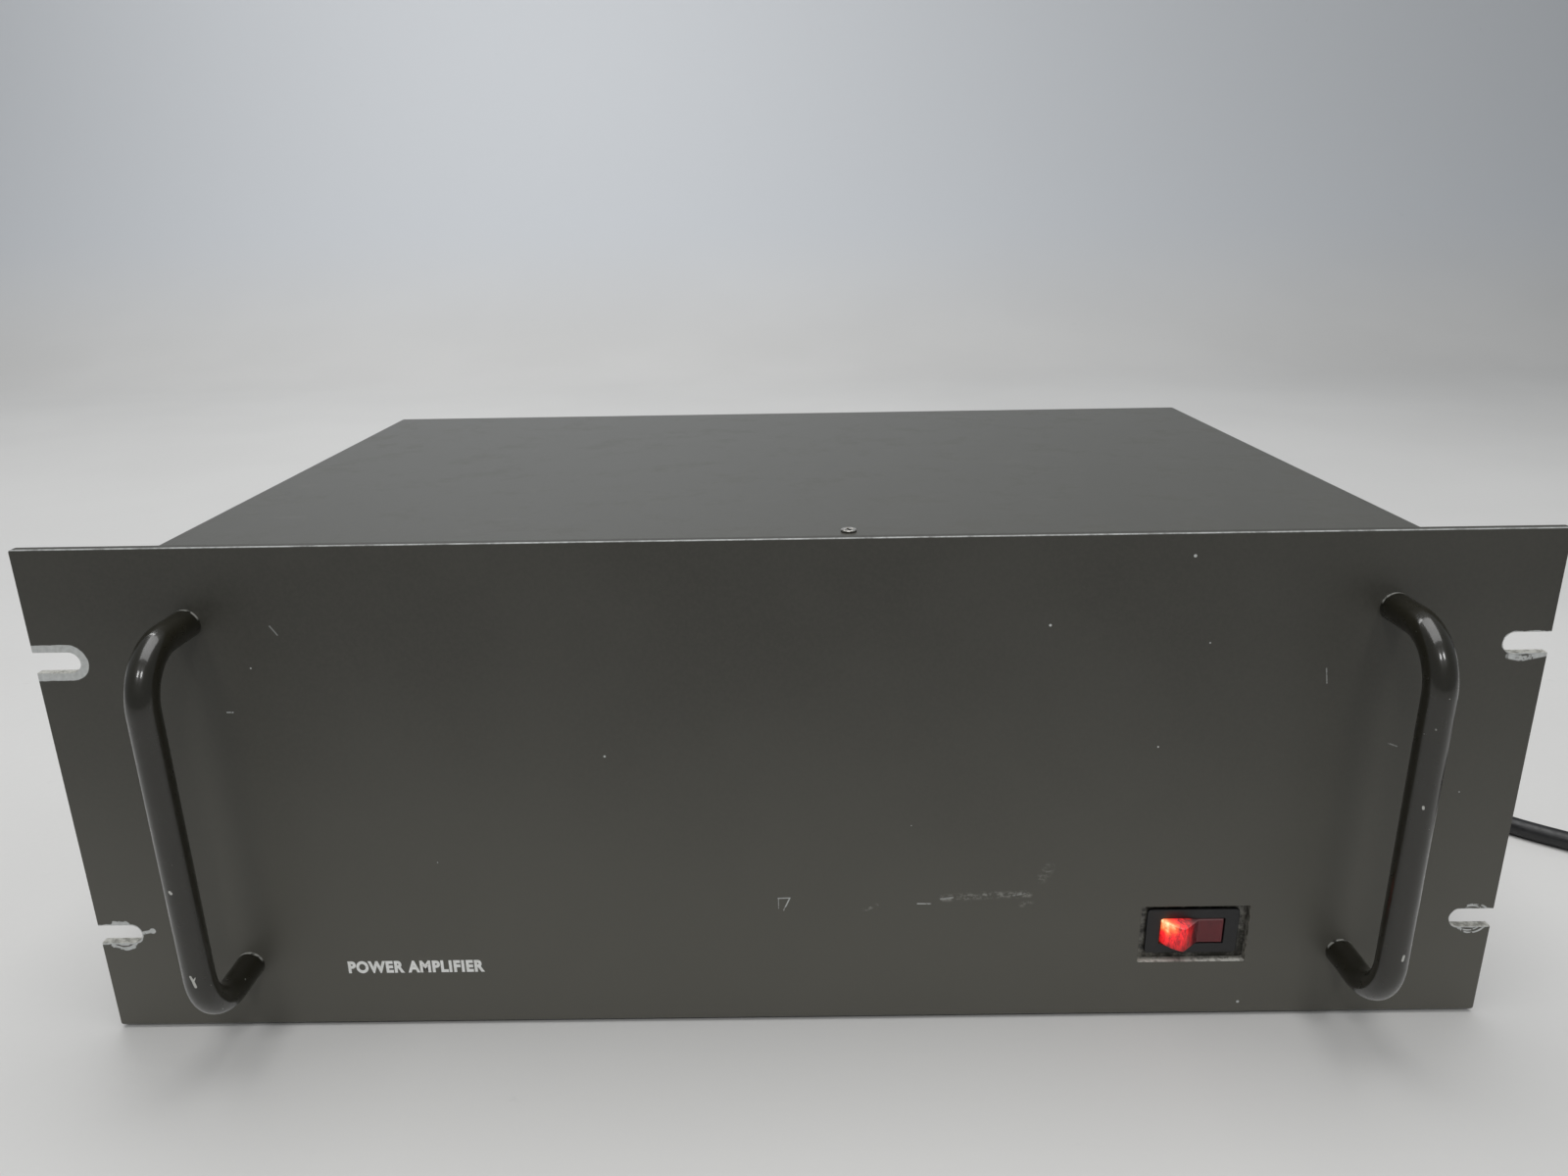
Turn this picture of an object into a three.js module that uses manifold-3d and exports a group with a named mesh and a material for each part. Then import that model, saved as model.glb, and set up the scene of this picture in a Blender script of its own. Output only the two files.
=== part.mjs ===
// A stereo power amplifier for a 19-inch rack: a 4U front panel with two bar handles and a
// lighted power rocker, a steel case under a screwed cover, and the working parts inside.
// Millimetres. +X is to the right as seen from the front, +Y to the back and +Z up. The origin
// is on the surface the amplifier stands on, at the middle of its box without the mains cord.
import * as THREE from "three";
import { mergeVertices } from "three/addons/utils/BufferGeometryUtils.js";
import Module from "manifold-3d";

const wasm = await Module();
wasm.setup();

// ---------- Driving dimensions ----------
const GAP = 0.3; // clearance between pieces that touch
const SHEET = 1.6; // steel sheet of the case

const PANEL = { width: 482.6, height: 177, thick: 3.2, lift: 1.5 }; // lift: above the surface
const CASE = { width: 406.4, back: 254, bottom: 9.5, top: 175.8 }; // back: from the panel's front face
const SLOT = { reach: 14.7, radius: 3.5, spacing: 101.6 }; // rack slots, open at the panel's ends
const HANDLE = { x: 190.5, bar: 4.76, spread: 127, reach: 30.2, bend: 17.5 };
const SWITCH = { x: 139.1, z: 33.9, bezel: [32, 17.5], opening: [37.4, 22.3], faceY: 1.7 };
const ROCKER = { radius: 12, face: 5.7, tilt: 20, height: 9.4 }; // face: pivot to each half's plane
const FAN = { size: 119.8, bore: 57.5, depth: 38, z: 92, holes: 52.5 };
const POST = { reach: 24, z: 62, x: [-109.05, -90, 90, 109.05], stud: 3 };
const CORD = { radius: 4, exit: [150, 34] }; // exit: x and z on the rear panel
const COIL = { x: 435, y: 109, inner: 28, outer: 60, upper: [32, 53], layer: 8, height: 15 };

// Worked out from them
const PANEL_MIDDLE = PANEL.lift + PANEL.height / 2;
const HANDLE_FRONT = HANDLE.reach + HANDLE.bar;
const FRONT_Y = (HANDLE_FRONT - CASE.back - POST.reach) / 2; // the panel's front face
const CASE_HALF = CASE.width / 2;
const INSIDE_HALF = CASE_HALF - SHEET - GAP; // outer face of the pan's upturned sides
const SUBPANEL_Y = PANEL.thick; // the case's front, in a relief of one GAP in the panel's back
const REAR_Y = CASE.back - SHEET; // the rear panel's inner face
const LIP_TOP = CASE.top - SHEET - GAP;
const FLOOR = CASE.bottom + SHEET;
const ON_FLOOR = FLOOR + GAP; // the lowest point of what stands on the floor
const HANDLE_Z = [PANEL_MIDDLE - HANDLE.spread / 2, PANEL_MIDDLE + HANDLE.spread / 2];
const SIDES = { left: -1, right: 1 };

// ---------- Materials ----------
const paint = (color, roughness, metalness = 0) =>
  new THREE.MeshStandardMaterial({ color, roughness, metalness });
const LOOK = {
  panel: paint(0x3f403b, 0.55),
  handle: paint(0x35362f, 0.35),
  steel: paint(0xb4b6b5, 0.4, 1),
  screw: paint(0x8f908c, 0.35, 1),
  blackPlastic: paint(0x141414, 0.5),
  rocker: paint(0xc01818, 0.25),
  lamp: paint(0xff6a30, 0.1),
  fan: paint(0x1c1c1c, 0.45),
  chrome: paint(0xd8d8d8, 0.15, 1),
  iron: paint(0x3a3a3c, 0.6, 1),
  tape: paint(0xb89a3e, 0.6),
  sleeve: paint(0x1d3a6e, 0.3),
  anodised: paint(0x1a1a1c, 0.5, 1),
  board: paint(0x1f5a2c, 0.5),
  brass: paint(0xc9a24b, 0.3, 1),
  redPlastic: paint(0xb01616, 0.35),
  rubber: paint(0x161616, 0.85),
};

// ---------- Solids ----------
const WELD = 1e-4; // vertices nearer than this are one

function solid(geometry) {
  const bare = geometry.clone();
  bare.deleteAttribute("normal");
  bare.deleteAttribute("uv");
  const merged = mergeVertices(bare, WELD);
  return new wasm.Manifold(
    new wasm.Mesh({
      numProp: 3,
      vertProperties: merged.attributes.position.array,
      triVerts: new Uint32Array(merged.index.array),
    }),
  );
}

function geometryOf(manifold) {
  const mesh = manifold.getMesh();
  return new THREE.BufferGeometry()
    .setAttribute("position", new THREE.BufferAttribute(mesh.vertProperties, 3))
    .setIndex(new THREE.BufferAttribute(mesh.triVerts, 1));
}

function join(...pieces) {
  return geometryOf(pieces.map(solid).reduce((all, piece) => all.add(piece)));
}

function cut(piece, ...tools) {
  return geometryOf(tools.map(solid).reduce((left, tool) => left.subtract(tool), solid(piece)));
}

// A box from its [low, high] along X, Y and Z.
function block([x0, x1], [y0, y1], [z0, z1]) {
  const box = new THREE.BoxGeometry(x1 - x0, y1 - y0, z1 - z0);
  return box.translate((x0 + x1) / 2, (y0 + y1) / 2, (z0 + z1) / 2);
}

// [low, high] of a width centred on a place.
const about = (middle, width) => [middle - width / 2, middle + width / 2];

// Rods along each axis, from their [low, high] there and the two other coordinates.
function rodX(radius, [x0, x1], y, z, sides = 12) {
  const rod = new THREE.CylinderGeometry(radius, radius, x1 - x0, sides);
  return rod.rotateZ(-Math.PI / 2).translate((x0 + x1) / 2, y, z);
}

function rodY(radius, [y0, y1], x, z, sides = 12) {
  const rod = new THREE.CylinderGeometry(radius, radius, y1 - y0, sides);
  return rod.translate(x, (y0 + y1) / 2, z);
}

function rodZ(radius, [z0, z1], x, y, sides = 12) {
  const rod = new THREE.CylinderGeometry(radius, radius, z1 - z0, sides);
  return rod.rotateX(Math.PI / 2).translate(x, y, (z0 + z1) / 2);
}

// A turned piece from [radius, height] pairs, its axis along +Y or +Z.
function turnedY(profile, sides = 24) {
  return new THREE.LatheGeometry(profile.map(([r, y]) => new THREE.Vector2(r, y)), sides);
}

function turnedZ(profile, sides = 24) {
  return turnedY(profile, sides).rotateX(Math.PI / 2);
}

// A flat outline of [u, v] points pushed up along Z from z0 to z1.
function pushedUp(outline, [z0, z1]) {
  const shape = new THREE.Shape(outline.map(([u, v]) => new THREE.Vector2(u, v)));
  const depth = z1 - z0;
  return new THREE.ExtrudeGeometry(shape, { depth, bevelEnabled: false }).translate(0, 0, z0);
}

// Points on a circle, from one angle to another in degrees.
function arc(radius, from, to, steps, [cx, cy] = [0, 0]) {
  return Array.from({ length: steps + 1 }, (_, i) => {
    const a = THREE.MathUtils.degToRad(from + ((to - from) * i) / steps);
    return [cx + radius * Math.cos(a), cy + radius * Math.sin(a)];
  });
}

// A round bar or cord of a given number of sides along a curve.
function bar(curve, radius, sides, steps) {
  const ring = arc(radius, 0, 360 - 360 / sides, sides - 1);
  const section = new THREE.Shape(ring.map(([u, v]) => new THREE.Vector2(u, v)));
  return new THREE.ExtrudeGeometry(section, { steps, extrudePath: curve });
}

// A quarter turn in a plane of constant x, from one angle to another in degrees.
class QuarterTurn extends THREE.Curve {
  constructor(x, y, z, radius, from, to) {
    super();
    Object.assign(this, { x, y, z, radius, from, to });
  }

  getPoint(t, target = new THREE.Vector3()) {
    const a = THREE.MathUtils.degToRad(this.from + (this.to - this.from) * t);
    const y = this.y + this.radius * Math.cos(a);
    return target.set(this.x, y, this.z + this.radius * Math.sin(a));
  }
}

// ---------- The assembly ----------
const amplifier = new THREE.Group();
const fromPanel = new THREE.Group(); // y counted from the panel's front face
fromPanel.position.y = FRONT_Y;
amplifier.add(fromPanel);

function add(name, geometry, material, parent = fromPanel) {
  const mesh = new THREE.Mesh(geometry, material);
  mesh.name = name;
  parent.add(mesh);
  return mesh;
}

// ---------- Front panel and handles ----------
const EAR_CLEARANCE = 3; // from the case to the rack ears' back faces
const HANDLE_SCREW = { shank: 2.4, hole: 2.7, depth: 12, head: [4.5, 3.2] };

function rackSlot(side, z) {
  const end = (side * PANEL.width) / 2;
  const middle = end - side * (SLOT.reach - SLOT.radius);
  const through = [-1, PANEL.thick + 1];
  const mouth = [middle, end + side].sort((a, b) => a - b);
  return [
    rodY(SLOT.radius, through, middle, z, 24),
    block(mouth, through, about(z, 2 * SLOT.radius)),
  ];
}

function handleScrewHoles(y) {
  return Object.values(SIDES).flatMap((side) =>
    HANDLE_Z.map((z) => rodY(HANDLE_SCREW.hole, y, side * HANDLE.x, z)),
  );
}

function frontPanel() {
  const plate = block(
    about(0, PANEL.width),
    [0, PANEL.thick],
    [PANEL.lift, PANEL.lift + PANEL.height],
  );
  const slots = Object.values(SIDES).flatMap((side) =>
    [-1, 1].flatMap((level) => rackSlot(side, PANEL_MIDDLE + (level * SLOT.spacing) / 2)),
  );
  const [width, height] = SWITCH.opening;
  const window = block(about(SWITCH.x, width), [-1, PANEL.thick + 1], about(SWITCH.z, height));
  const relief = block(
    about(0, CASE.width + 2 * EAR_CLEARANCE),
    [PANEL.thick - GAP, PANEL.thick + 1],
    [0, PANEL.lift + PANEL.height + 1],
  );
  return cut(plate, ...slots, window, relief, ...handleScrewHoles([-1, PANEL.thick + 1]));
}

function handle(side) {
  const x = side * HANDLE.x;
  const [low, high] = HANDLE_Z;
  const bendY = HANDLE.bend - HANDLE.reach;
  const point = (y, z) => new THREE.Vector3(x, y, z);
  const path = new THREE.CurvePath();
  path.add(new THREE.LineCurve3(point(-GAP, low), point(bendY, low)));
  path.add(new QuarterTurn(x, bendY, low + HANDLE.bend, HANDLE.bend, 270, 180));
  path.add(
    new THREE.LineCurve3(
      point(-HANDLE.reach, low + HANDLE.bend),
      point(-HANDLE.reach, high - HANDLE.bend),
    ),
  );
  path.add(new QuarterTurn(x, bendY, high - HANDLE.bend, HANDLE.bend, 180, 90));
  path.add(new THREE.LineCurve3(point(bendY, high), point(-GAP, high)));
  const holes = HANDLE_Z.map((z) => rodY(HANDLE_SCREW.hole, [-HANDLE_SCREW.depth - 0.5, 1], x, z));
  return cut(bar(path, HANDLE.bar, 10, 26), ...holes);
}

function handleScrew(x, z) {
  const [headRadius, headHeight] = HANDLE_SCREW.head;
  const under = SUBPANEL_Y + SHEET + GAP;
  return turnedY(
    [
      [0, -HANDLE_SCREW.depth],
      [HANDLE_SCREW.shank, -HANDLE_SCREW.depth],
      [HANDLE_SCREW.shank, under],
      [headRadius, under],
      [headRadius, under + headHeight - 1],
      [headRadius - 1.5, under + headHeight],
      [0, under + headHeight],
    ],
    10,
  ).translate(x, 0, z);
}

add("front_panel", frontPanel(), LOOK.panel);
for (const [name, side] of Object.entries(SIDES)) {
  add(`handle_${name}`, handle(side), LOOK.handle);
  HANDLE_Z.forEach((z, i) => {
    const level = ["bottom", "top"][i];
    add(`handle_screw_${name}_${level}`, handleScrew(side * HANDLE.x, z), LOOK.screw);
  });
}

// ---------- Case: pan, rear panel, cover and feet ----------
const SWITCH_BODY = [28, 14];
const SIDE_SCREW = { y: [45, 210], z: 20, hole: 1.7 };
const TOP_SCREW = { x: 20, y: 17.5 };
const PAN_SIDE_TOP = 30;
const REAR_LIP_TOP = 22;
const FRONT_LIP_Y = 26;
const REAR_TOP_LIP_Y = 238;
const FLOOR_VENT = { width: 5, length: 60, pitch: 20, count: 6, x: 176, y: 95 };
const SIDE_VENT = { width: 5, height: 48, pitch: 13, count: 12, y: 74, z: [62, 122] };

function sideScrewHoles() {
  return Object.values(SIDES).flatMap((side) => {
    const x = [side * (CASE_HALF - 6), side * (CASE_HALF + 1)].sort((a, b) => a - b);
    return SIDE_SCREW.y.map((y) => rodX(SIDE_SCREW.hole, x, y, SIDE_SCREW.z));
  });
}

function topScrewHole() {
  return rodZ(SIDE_SCREW.hole, [LIP_TOP - 4, CASE.top + 1], TOP_SCREW.x, TOP_SCREW.y);
}

function floorVents() {
  return Object.values(SIDES).flatMap((side) =>
    Array.from({ length: FLOOR_VENT.count }, (_, i) =>
      block(
        about(side * FLOOR_VENT.x, 40),
        about(FLOOR_VENT.y + i * FLOOR_VENT.pitch, FLOOR_VENT.width),
        [CASE.bottom - 1, FLOOR + 1],
      ),
    ),
  );
}

function chassisPan() {
  const across = about(0, 2 * INSIDE_HALF);
  const back = REAR_Y - GAP;
  const depth = [SUBPANEL_Y, back];
  const up = [CASE.bottom, PAN_SIDE_TOP];
  const folded = join(
    block(across, depth, [CASE.bottom, FLOOR]),
    block(across, [SUBPANEL_Y, SUBPANEL_Y + SHEET], [CASE.bottom, LIP_TOP]),
    block(across, [SUBPANEL_Y, FRONT_LIP_Y], [LIP_TOP - SHEET, LIP_TOP]),
    block([-INSIDE_HALF, SHEET - INSIDE_HALF], depth, up),
    block([INSIDE_HALF - SHEET, INSIDE_HALF], depth, up),
    block(across, [back - SHEET, back], [CASE.bottom, REAR_LIP_TOP]),
  );
  const [width, height] = SWITCH_BODY;
  const switchHole = block(
    about(SWITCH.x, width + 2 * GAP),
    [0, SUBPANEL_Y + SHEET + 1],
    about(SWITCH.z, height + 2 * GAP),
  );
  const screwHoles = [...handleScrewHoles([1, SUBPANEL_Y + SHEET + 1]), ...sideScrewHoles()];
  return cut(folded, switchHole, topScrewHole(), ...screwHoles, ...floorVents());
}

const JACK = { x: [-85, 85], z: 140, hole: 4.2 };
const FUSE = { x: 136, z: 92, hole: 6.5 };
const POST_HOLE = 4.2;
const CORD_HOLE = 8;

function rearPanel() {
  const across = about(0, 2 * INSIDE_HALF);
  const plate = join(
    block(across, [REAR_Y, CASE.back], [CASE.bottom, LIP_TOP]),
    block(across, [REAR_TOP_LIP_Y, CASE.back], [LIP_TOP - SHEET, LIP_TOP]),
  );
  const through = [REAR_Y - 1, CASE.back + 1];
  const [cordX, cordZ] = CORD.exit;
  return cut(
    plate,
    rodY(FAN.bore, through, 0, FAN.z, 36),
    ...fanHoles(through),
    ...JACK.x.map((x) => rodY(JACK.hole, through, x, JACK.z)),
    ...POST.x.map((x) => rodY(POST_HOLE, through, x, POST.z)),
    rodY(FUSE.hole, through, FUSE.x, FUSE.z, 16),
    rodY(CORD_HOLE, through, cordX, cordZ, 16),
  );
}

function topCover() {
  const across = about(0, CASE.width);
  const depth = [SUBPANEL_Y, CASE.back];
  const up = [CASE.bottom, CASE.top];
  const folded = join(
    block(across, depth, [CASE.top - SHEET, CASE.top]),
    block([-CASE_HALF, SHEET - CASE_HALF], depth, up),
    block([CASE_HALF - SHEET, CASE_HALF], depth, up),
  );
  const vents = Object.values(SIDES).flatMap((side) =>
    SIDE_VENT.z.flatMap((z) =>
      Array.from({ length: SIDE_VENT.count }, (_, i) =>
        block(
          about(side * CASE_HALF, 10),
          about(SIDE_VENT.y + i * SIDE_VENT.pitch, SIDE_VENT.width),
          about(z, SIDE_VENT.height),
        ),
      ),
    ),
  );
  return cut(folded, topScrewHole(), ...sideScrewHoles(), ...vents);
}

// A pan-head screw pointing down, the underside of its head at z = 0.
function panHeadScrew() {
  return turnedZ(
    [
      [0, -8],
      [1.4, -8],
      [1.4, 0],
      [2.7, 0],
      [2.5, 1],
      [1.5, 1.6],
      [0, 1.7],
    ],
    10,
  );
}

function foot() {
  const height = CASE.bottom - GAP;
  return turnedZ(
    [
      [0, 4],
      [4, 4],
      [4, 0],
      [11, 0],
      [12.5, height],
      [0, height],
    ],
    16,
  );
}

add("chassis_pan", chassisPan(), LOOK.steel);
add("rear_panel", rearPanel(), LOOK.panel);
add("top_cover", topCover(), LOOK.panel);
add("cover_screw_front", panHeadScrew(), LOOK.screw)
  .position.set(TOP_SCREW.x, TOP_SCREW.y, CASE.top + GAP);
const FOOT_PLACE = { x: 170, y: { front: 34, rear: 222 } };
for (const [name, side] of Object.entries(SIDES)) {
  SIDE_SCREW.y.forEach((y, i) => {
    const screw = add(`cover_screw_${name}_${["front", "rear"][i]}`, panHeadScrew(), LOOK.screw);
    screw.position.set(side * (CASE_HALF + GAP), y, SIDE_SCREW.z);
    screw.rotation.y = (side * Math.PI) / 2;
  });
  for (const [end, y] of Object.entries(FOOT_PLACE.y)) {
    add(`foot_${end}_${name}`, foot(), LOOK.rubber).position.set(side * FOOT_PLACE.x, y, 0);
  }
}

// ---------- Power switch ----------
const PIVOT_Y = SWITCH.faceY + ROCKER.face;
const PIVOT_PIN = 1.2;
const POCKET_DEPTH = 6.4; // behind the pivot
const SWITCH_BACK = 28;

// The pocket's side walls follow the rocker's ends, with a running gap.
function pocket() {
  const radius = ROCKER.radius + GAP;
  const mouth = THREE.MathUtils.radToDeg(Math.asin(ROCKER.face / radius));
  const half = Math.sqrt(radius ** 2 - ROCKER.face ** 2);
  const outline = [
    [half, ROCKER.face + 1],
    [-half, ROCKER.face + 1],
    ...arc(radius, 180 - mouth, 180, 4),
    [-radius, -POCKET_DEPTH],
    [radius, -POCKET_DEPTH],
    ...arc(radius, 0, mouth, 4),
  ];
  return pushedUp(outline.map(([u, w]) => [u, -w]), about(0, ROCKER.height + 2 * GAP));
}

function switchHousing() {
  const [bezelWidth, bezelHeight] = SWITCH.bezel;
  const [width, height] = SWITCH_BODY;
  const front = SWITCH.faceY - PIVOT_Y;
  const flangeBack = SUBPANEL_Y - GAP - PIVOT_Y;
  const back = SWITCH_BACK - PIVOT_Y;
  const terminals = [-9, 0, 9].map((x) =>
    block(about(x, 6.3), [back - 1, back + 8], about(0, 0.8)),
  );
  const body = join(
    block(about(0, bezelWidth), [front, flangeBack], about(0, bezelHeight)),
    block(about(0, width), [flangeBack - 1, back], about(0, height)),
    ...terminals,
  );
  return cut(body, pocket(), rodZ(PIVOT_PIN + GAP, about(0, height + 2), 0, 0, 24));
}

// A shallow V in front, whose ends are arcs about the pivot, and a round boss behind it.
function rocker() {
  const tip = THREE.MathUtils.radToDeg(Math.acos(ROCKER.face / ROCKER.radius)) - ROCKER.tilt;
  const skirt = 5; // degrees short of straight out to the side
  const vertex = ROCKER.face / Math.cos(THREE.MathUtils.degToRad(ROCKER.tilt));
  const boss = 3.2;
  const backW = ROCKER.radius * Math.sin(THREE.MathUtils.degToRad(skirt));
  const bossAngle = THREE.MathUtils.radToDeg(Math.asin(backW / boss));
  const outline = [
    [0, vertex],
    ...arc(ROCKER.radius, 90 + tip, 180 - skirt, 6),
    ...arc(boss, 180 - bossAngle, 360 + bossAngle, 10),
    ...arc(ROCKER.radius, skirt, 90 - tip, 6),
  ];
  const blank = pushedUp(outline.map(([u, w]) => [u, -w]), about(0, ROCKER.height));
  return cut(blank, rodZ(PIVOT_PIN + 0.05, about(0, ROCKER.height + 2), 0, 0, 24));
}

const powerSwitch = new THREE.Group(); // about the rocker's pivot
powerSwitch.position.set(SWITCH.x, PIVOT_Y, SWITCH.z);
fromPanel.add(powerSwitch);
add("switch_housing", switchHousing(), LOOK.blackPlastic, powerSwitch);
add("switch_rocker", rocker(), LOOK.rocker, powerSwitch)
  .rotation.z = THREE.MathUtils.degToRad(ROCKER.tilt);
add("switch_pivot", rodZ(PIVOT_PIN, about(0, 13.6), 0, 0, 24), LOOK.screw, powerSwitch);
add("switch_lamp", rodX(1.1, [-10.5, -4.5], 4.9, 0), LOOK.lamp, powerSwitch);

// ---------- Cooling fan ----------
const FAN_BACK = REAR_Y - GAP;
const FAN_FRONT = FAN_BACK - FAN.depth;
const HUB = 22;
const SHAFT = 2.5;

function fanHoles(y) {
  return [-1, 1].flatMap((i) =>
    [-1, 1].map((j) => rodY(2.3, y, i * FAN.holes, FAN.z + j * FAN.holes)),
  );
}

function fanFrame() {
  const through = [FAN_FRONT - 1, FAN_BACK + 1];
  const body = cut(
    block(about(0, FAN.size), [FAN_FRONT, FAN_BACK], about(FAN.z, FAN.size)),
    rodY(FAN.bore, through, 0, FAN.z, 36),
    ...fanHoles(through),
  );
  const struts = [90, 210, 330].map((angle) =>
    block([HUB - 3, FAN.bore + 1], [FAN_FRONT, FAN_FRONT + 4], about(0, 5))
      .rotateY(THREE.MathUtils.degToRad(angle))
      .translate(0, 0, FAN.z),
  );
  const motor = rodY(HUB, [FAN_FRONT, FAN_FRONT + 8], 0, FAN.z, 24);
  const bearing = rodY(SHAFT + 0.05, [FAN_FRONT + 1.5, FAN_FRONT + 9], 0, FAN.z, 24);
  return cut(join(body, motor, ...struts), bearing);
}

function fanRotor() {
  const hubFront = FAN_FRONT + 8 + GAP;
  const hubBack = FAN_BACK - 3;
  const blades = Array.from({ length: 5 }, (_, i) =>
    new THREE.BoxGeometry(34, 22, 2)
      .rotateX(THREE.MathUtils.degToRad(-50))
      .translate(HUB + 15.5, (hubFront + hubBack) / 2, 0)
      .rotateY(THREE.MathUtils.degToRad(72 * i))
      .translate(0, 0, FAN.z),
  );
  return join(
    rodY(HUB, [hubFront, hubBack], 0, FAN.z, 24),
    rodY(SHAFT, [FAN_FRONT + 2, hubFront + 1], 0, FAN.z, 24),
    ...blades,
  );
}

function fanGuard() {
  const seat = CASE.back + GAP;
  const wire = 2;
  const ringY = seat + 3.6;
  const rings = [10, 25, 40, 55].map((radius) =>
    turnedY(
      [
        [radius - 1, ringY],
        [radius + 1, ringY],
        [radius + 1, ringY + wire],
        [radius - 1, ringY + wire],
        [radius - 1, ringY],
      ],
      20,
    ).translate(0, 0, FAN.z),
  );
  const reach = FAN.holes * Math.SQRT2;
  const spokes = [45, 135].map((angle) =>
    block([-reach, reach], [ringY - 1.8, ringY + 0.2], about(0, wire))
      .rotateY(THREE.MathUtils.degToRad(angle))
      .translate(0, 0, FAN.z),
  );
  const corners = [-1, 1].flatMap((i) =>
    [-1, 1].map((j) => rodY(4.2, [seat, ringY], i * FAN.holes, FAN.z + j * FAN.holes)),
  );
  return cut(join(...rings, ...spokes, ...corners), ...fanHoles([seat - 1, ringY - 2]));
}

add("fan_frame", fanFrame(), LOOK.fan);
add("fan_rotor", fanRotor(), LOOK.blackPlastic);
add("fan_guard", fanGuard(), LOOK.chrome);

// ---------- Power supply ----------
const CORE = { width: 150, height: 125, stack: [40, 105], limb: 25 };
const COIL_FACE = [22, 123]; // the winding's front and back
const CAPACITOR = { x: 46, y: 172, radius: 38, height: 120 };
const STRAP = { width: 45, back: 95 }; // the transformer's, along Y
const BRIDGE = { x: 105, y: 30, size: 29, height: 11 };

const CORE_TOP = ON_FLOOR + CORE.height;
const WINDOW_Z = [ON_FLOOR + CORE.limb, CORE_TOP - CORE.limb];

function transformerCore() {
  const windows = [-1, 1].map((side) =>
    block(about(side * 1.5 * CORE.limb, CORE.limb), [0, 200], WINDOW_Z),
  );
  return cut(block(about(0, CORE.width), CORE.stack, [ON_FLOOR, CORE_TOP]), ...windows);
}

function transformerWinding() {
  const [z0, z1] = WINDOW_Z;
  const [y0, y1] = CORE.stack;
  const outside = block(about(0, 4 * CORE.limb - 2 * GAP), COIL_FACE, [z0 + GAP, z1 - GAP]);
  const limb = block(about(0, 2 * CORE.limb + 2 * GAP), [y0 - GAP, y1 + GAP], [0, 200]);
  return cut(outside, limb);
}

// A strap over the core, with feet turned outward on the floor.
function transformerFrame() {
  const inner = CORE.width / 2 + GAP;
  const outer = inner + 2;
  const foot = outer + 14;
  const top = CORE_TOP + GAP;
  const outline = [
    [inner, ON_FLOOR],
    [foot, ON_FLOOR],
    [foot, ON_FLOOR + 2],
    [outer, ON_FLOOR + 2],
    [outer, top + 2],
    [-outer, top + 2],
    [-outer, ON_FLOOR + 2],
    [-foot, ON_FLOOR + 2],
    [-foot, ON_FLOOR],
    [-inner, ON_FLOOR],
    [-inner, top],
    [inner, top],
  ];
  return pushedUp(outline, [0, STRAP.width]).rotateX(Math.PI / 2).translate(0, STRAP.back, 0);
}

function filterCapacitor() {
  const { radius, height } = CAPACITOR;
  const can = turnedZ(
    [
      [0, 0],
      [radius - 2, 0],
      [radius, 2],
      [radius, height - 8],
      [radius - 1.5, height - 6],
      [radius, height - 4],
      [radius - 1, height],
      [radius - 4, height],
      [radius - 4, height - 3],
      [0, height - 3],
    ],
    20,
  );
  const terminals = [-11, 11].map((x) => rodZ(4, [height - 4, height + 3], x, 0, 8));
  return join(can, ...terminals);
}

function capacitorClamp(side) {
  const inner = CAPACITOR.radius + GAP;
  const outer = inner + 2;
  const ring = turnedZ(
    [
      [inner, 0],
      [outer, 0],
      [outer, 16],
      [inner, 16],
      [inner, 0],
    ],
    20,
  );
  const ear = [side * (outer - 1), side * (outer + 12)].sort((a, b) => a - b);
  return join(ring, block(ear, about(0, 14), [0, 2]));
}

function bridgeRectifier() {
  const { size, height } = BRIDGE;
  const lugs = [-9, 9].flatMap((x) =>
    [-9, 9].map((y) => block(about(x, 0.8), about(y, 6.3), [height - 1, height + 12])),
  );
  return join(block(about(0, size), about(0, size), [0, height]), ...lugs);
}

add("transformer_core", transformerCore(), LOOK.iron);
add("transformer_winding", transformerWinding(), LOOK.tape);
add("transformer_frame", transformerFrame(), LOOK.steel);
for (const [name, side] of Object.entries(SIDES)) {
  const place = [side * CAPACITOR.x, CAPACITOR.y, ON_FLOOR];
  add(`filter_capacitor_${name}`, filterCapacitor(), LOOK.sleeve).position.set(...place);
  add(`capacitor_clamp_${name}`, capacitorClamp(side), LOOK.steel).position.set(...place);
}
add("bridge_rectifier", bridgeRectifier(), LOOK.blackPlastic)
  .position.set(BRIDGE.x, BRIDGE.y, ON_FLOOR);

// ---------- The two amplifier channels ----------
const SINK = { x: 150, base: 8, fins: 13, fin: 2.5, reach: 44, y: [62, 228], height: 120 };
const DEVICE = { radius: 10, count: 6, pitch: 25, y: 82, z: 80 };
const BOARD_X = 128;

// A comb of fins pointing outward from a thick base plate.
function heatSink(side) {
  const [y0, y1] = SINK.y;
  const pitch = (y1 - y0 - SINK.fin) / (SINK.fins - 1);
  const root = SINK.x + SINK.base;
  const tip = SINK.x + SINK.reach;
  const outline = [[SINK.x, y1], [SINK.x, y0]];
  for (let i = 0; i < SINK.fins; i++) {
    const y = y0 + i * pitch;
    if (i > 0) outline.push([root, y]);
    outline.push([tip, y], [tip, y + SINK.fin]);
    if (i < SINK.fins - 1) outline.push([root, y + SINK.fin]);
  }
  return pushedUp(outline.map(([x, y]) => [side * x, y]), [ON_FLOOR, ON_FLOOR + SINK.height]);
}

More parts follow.
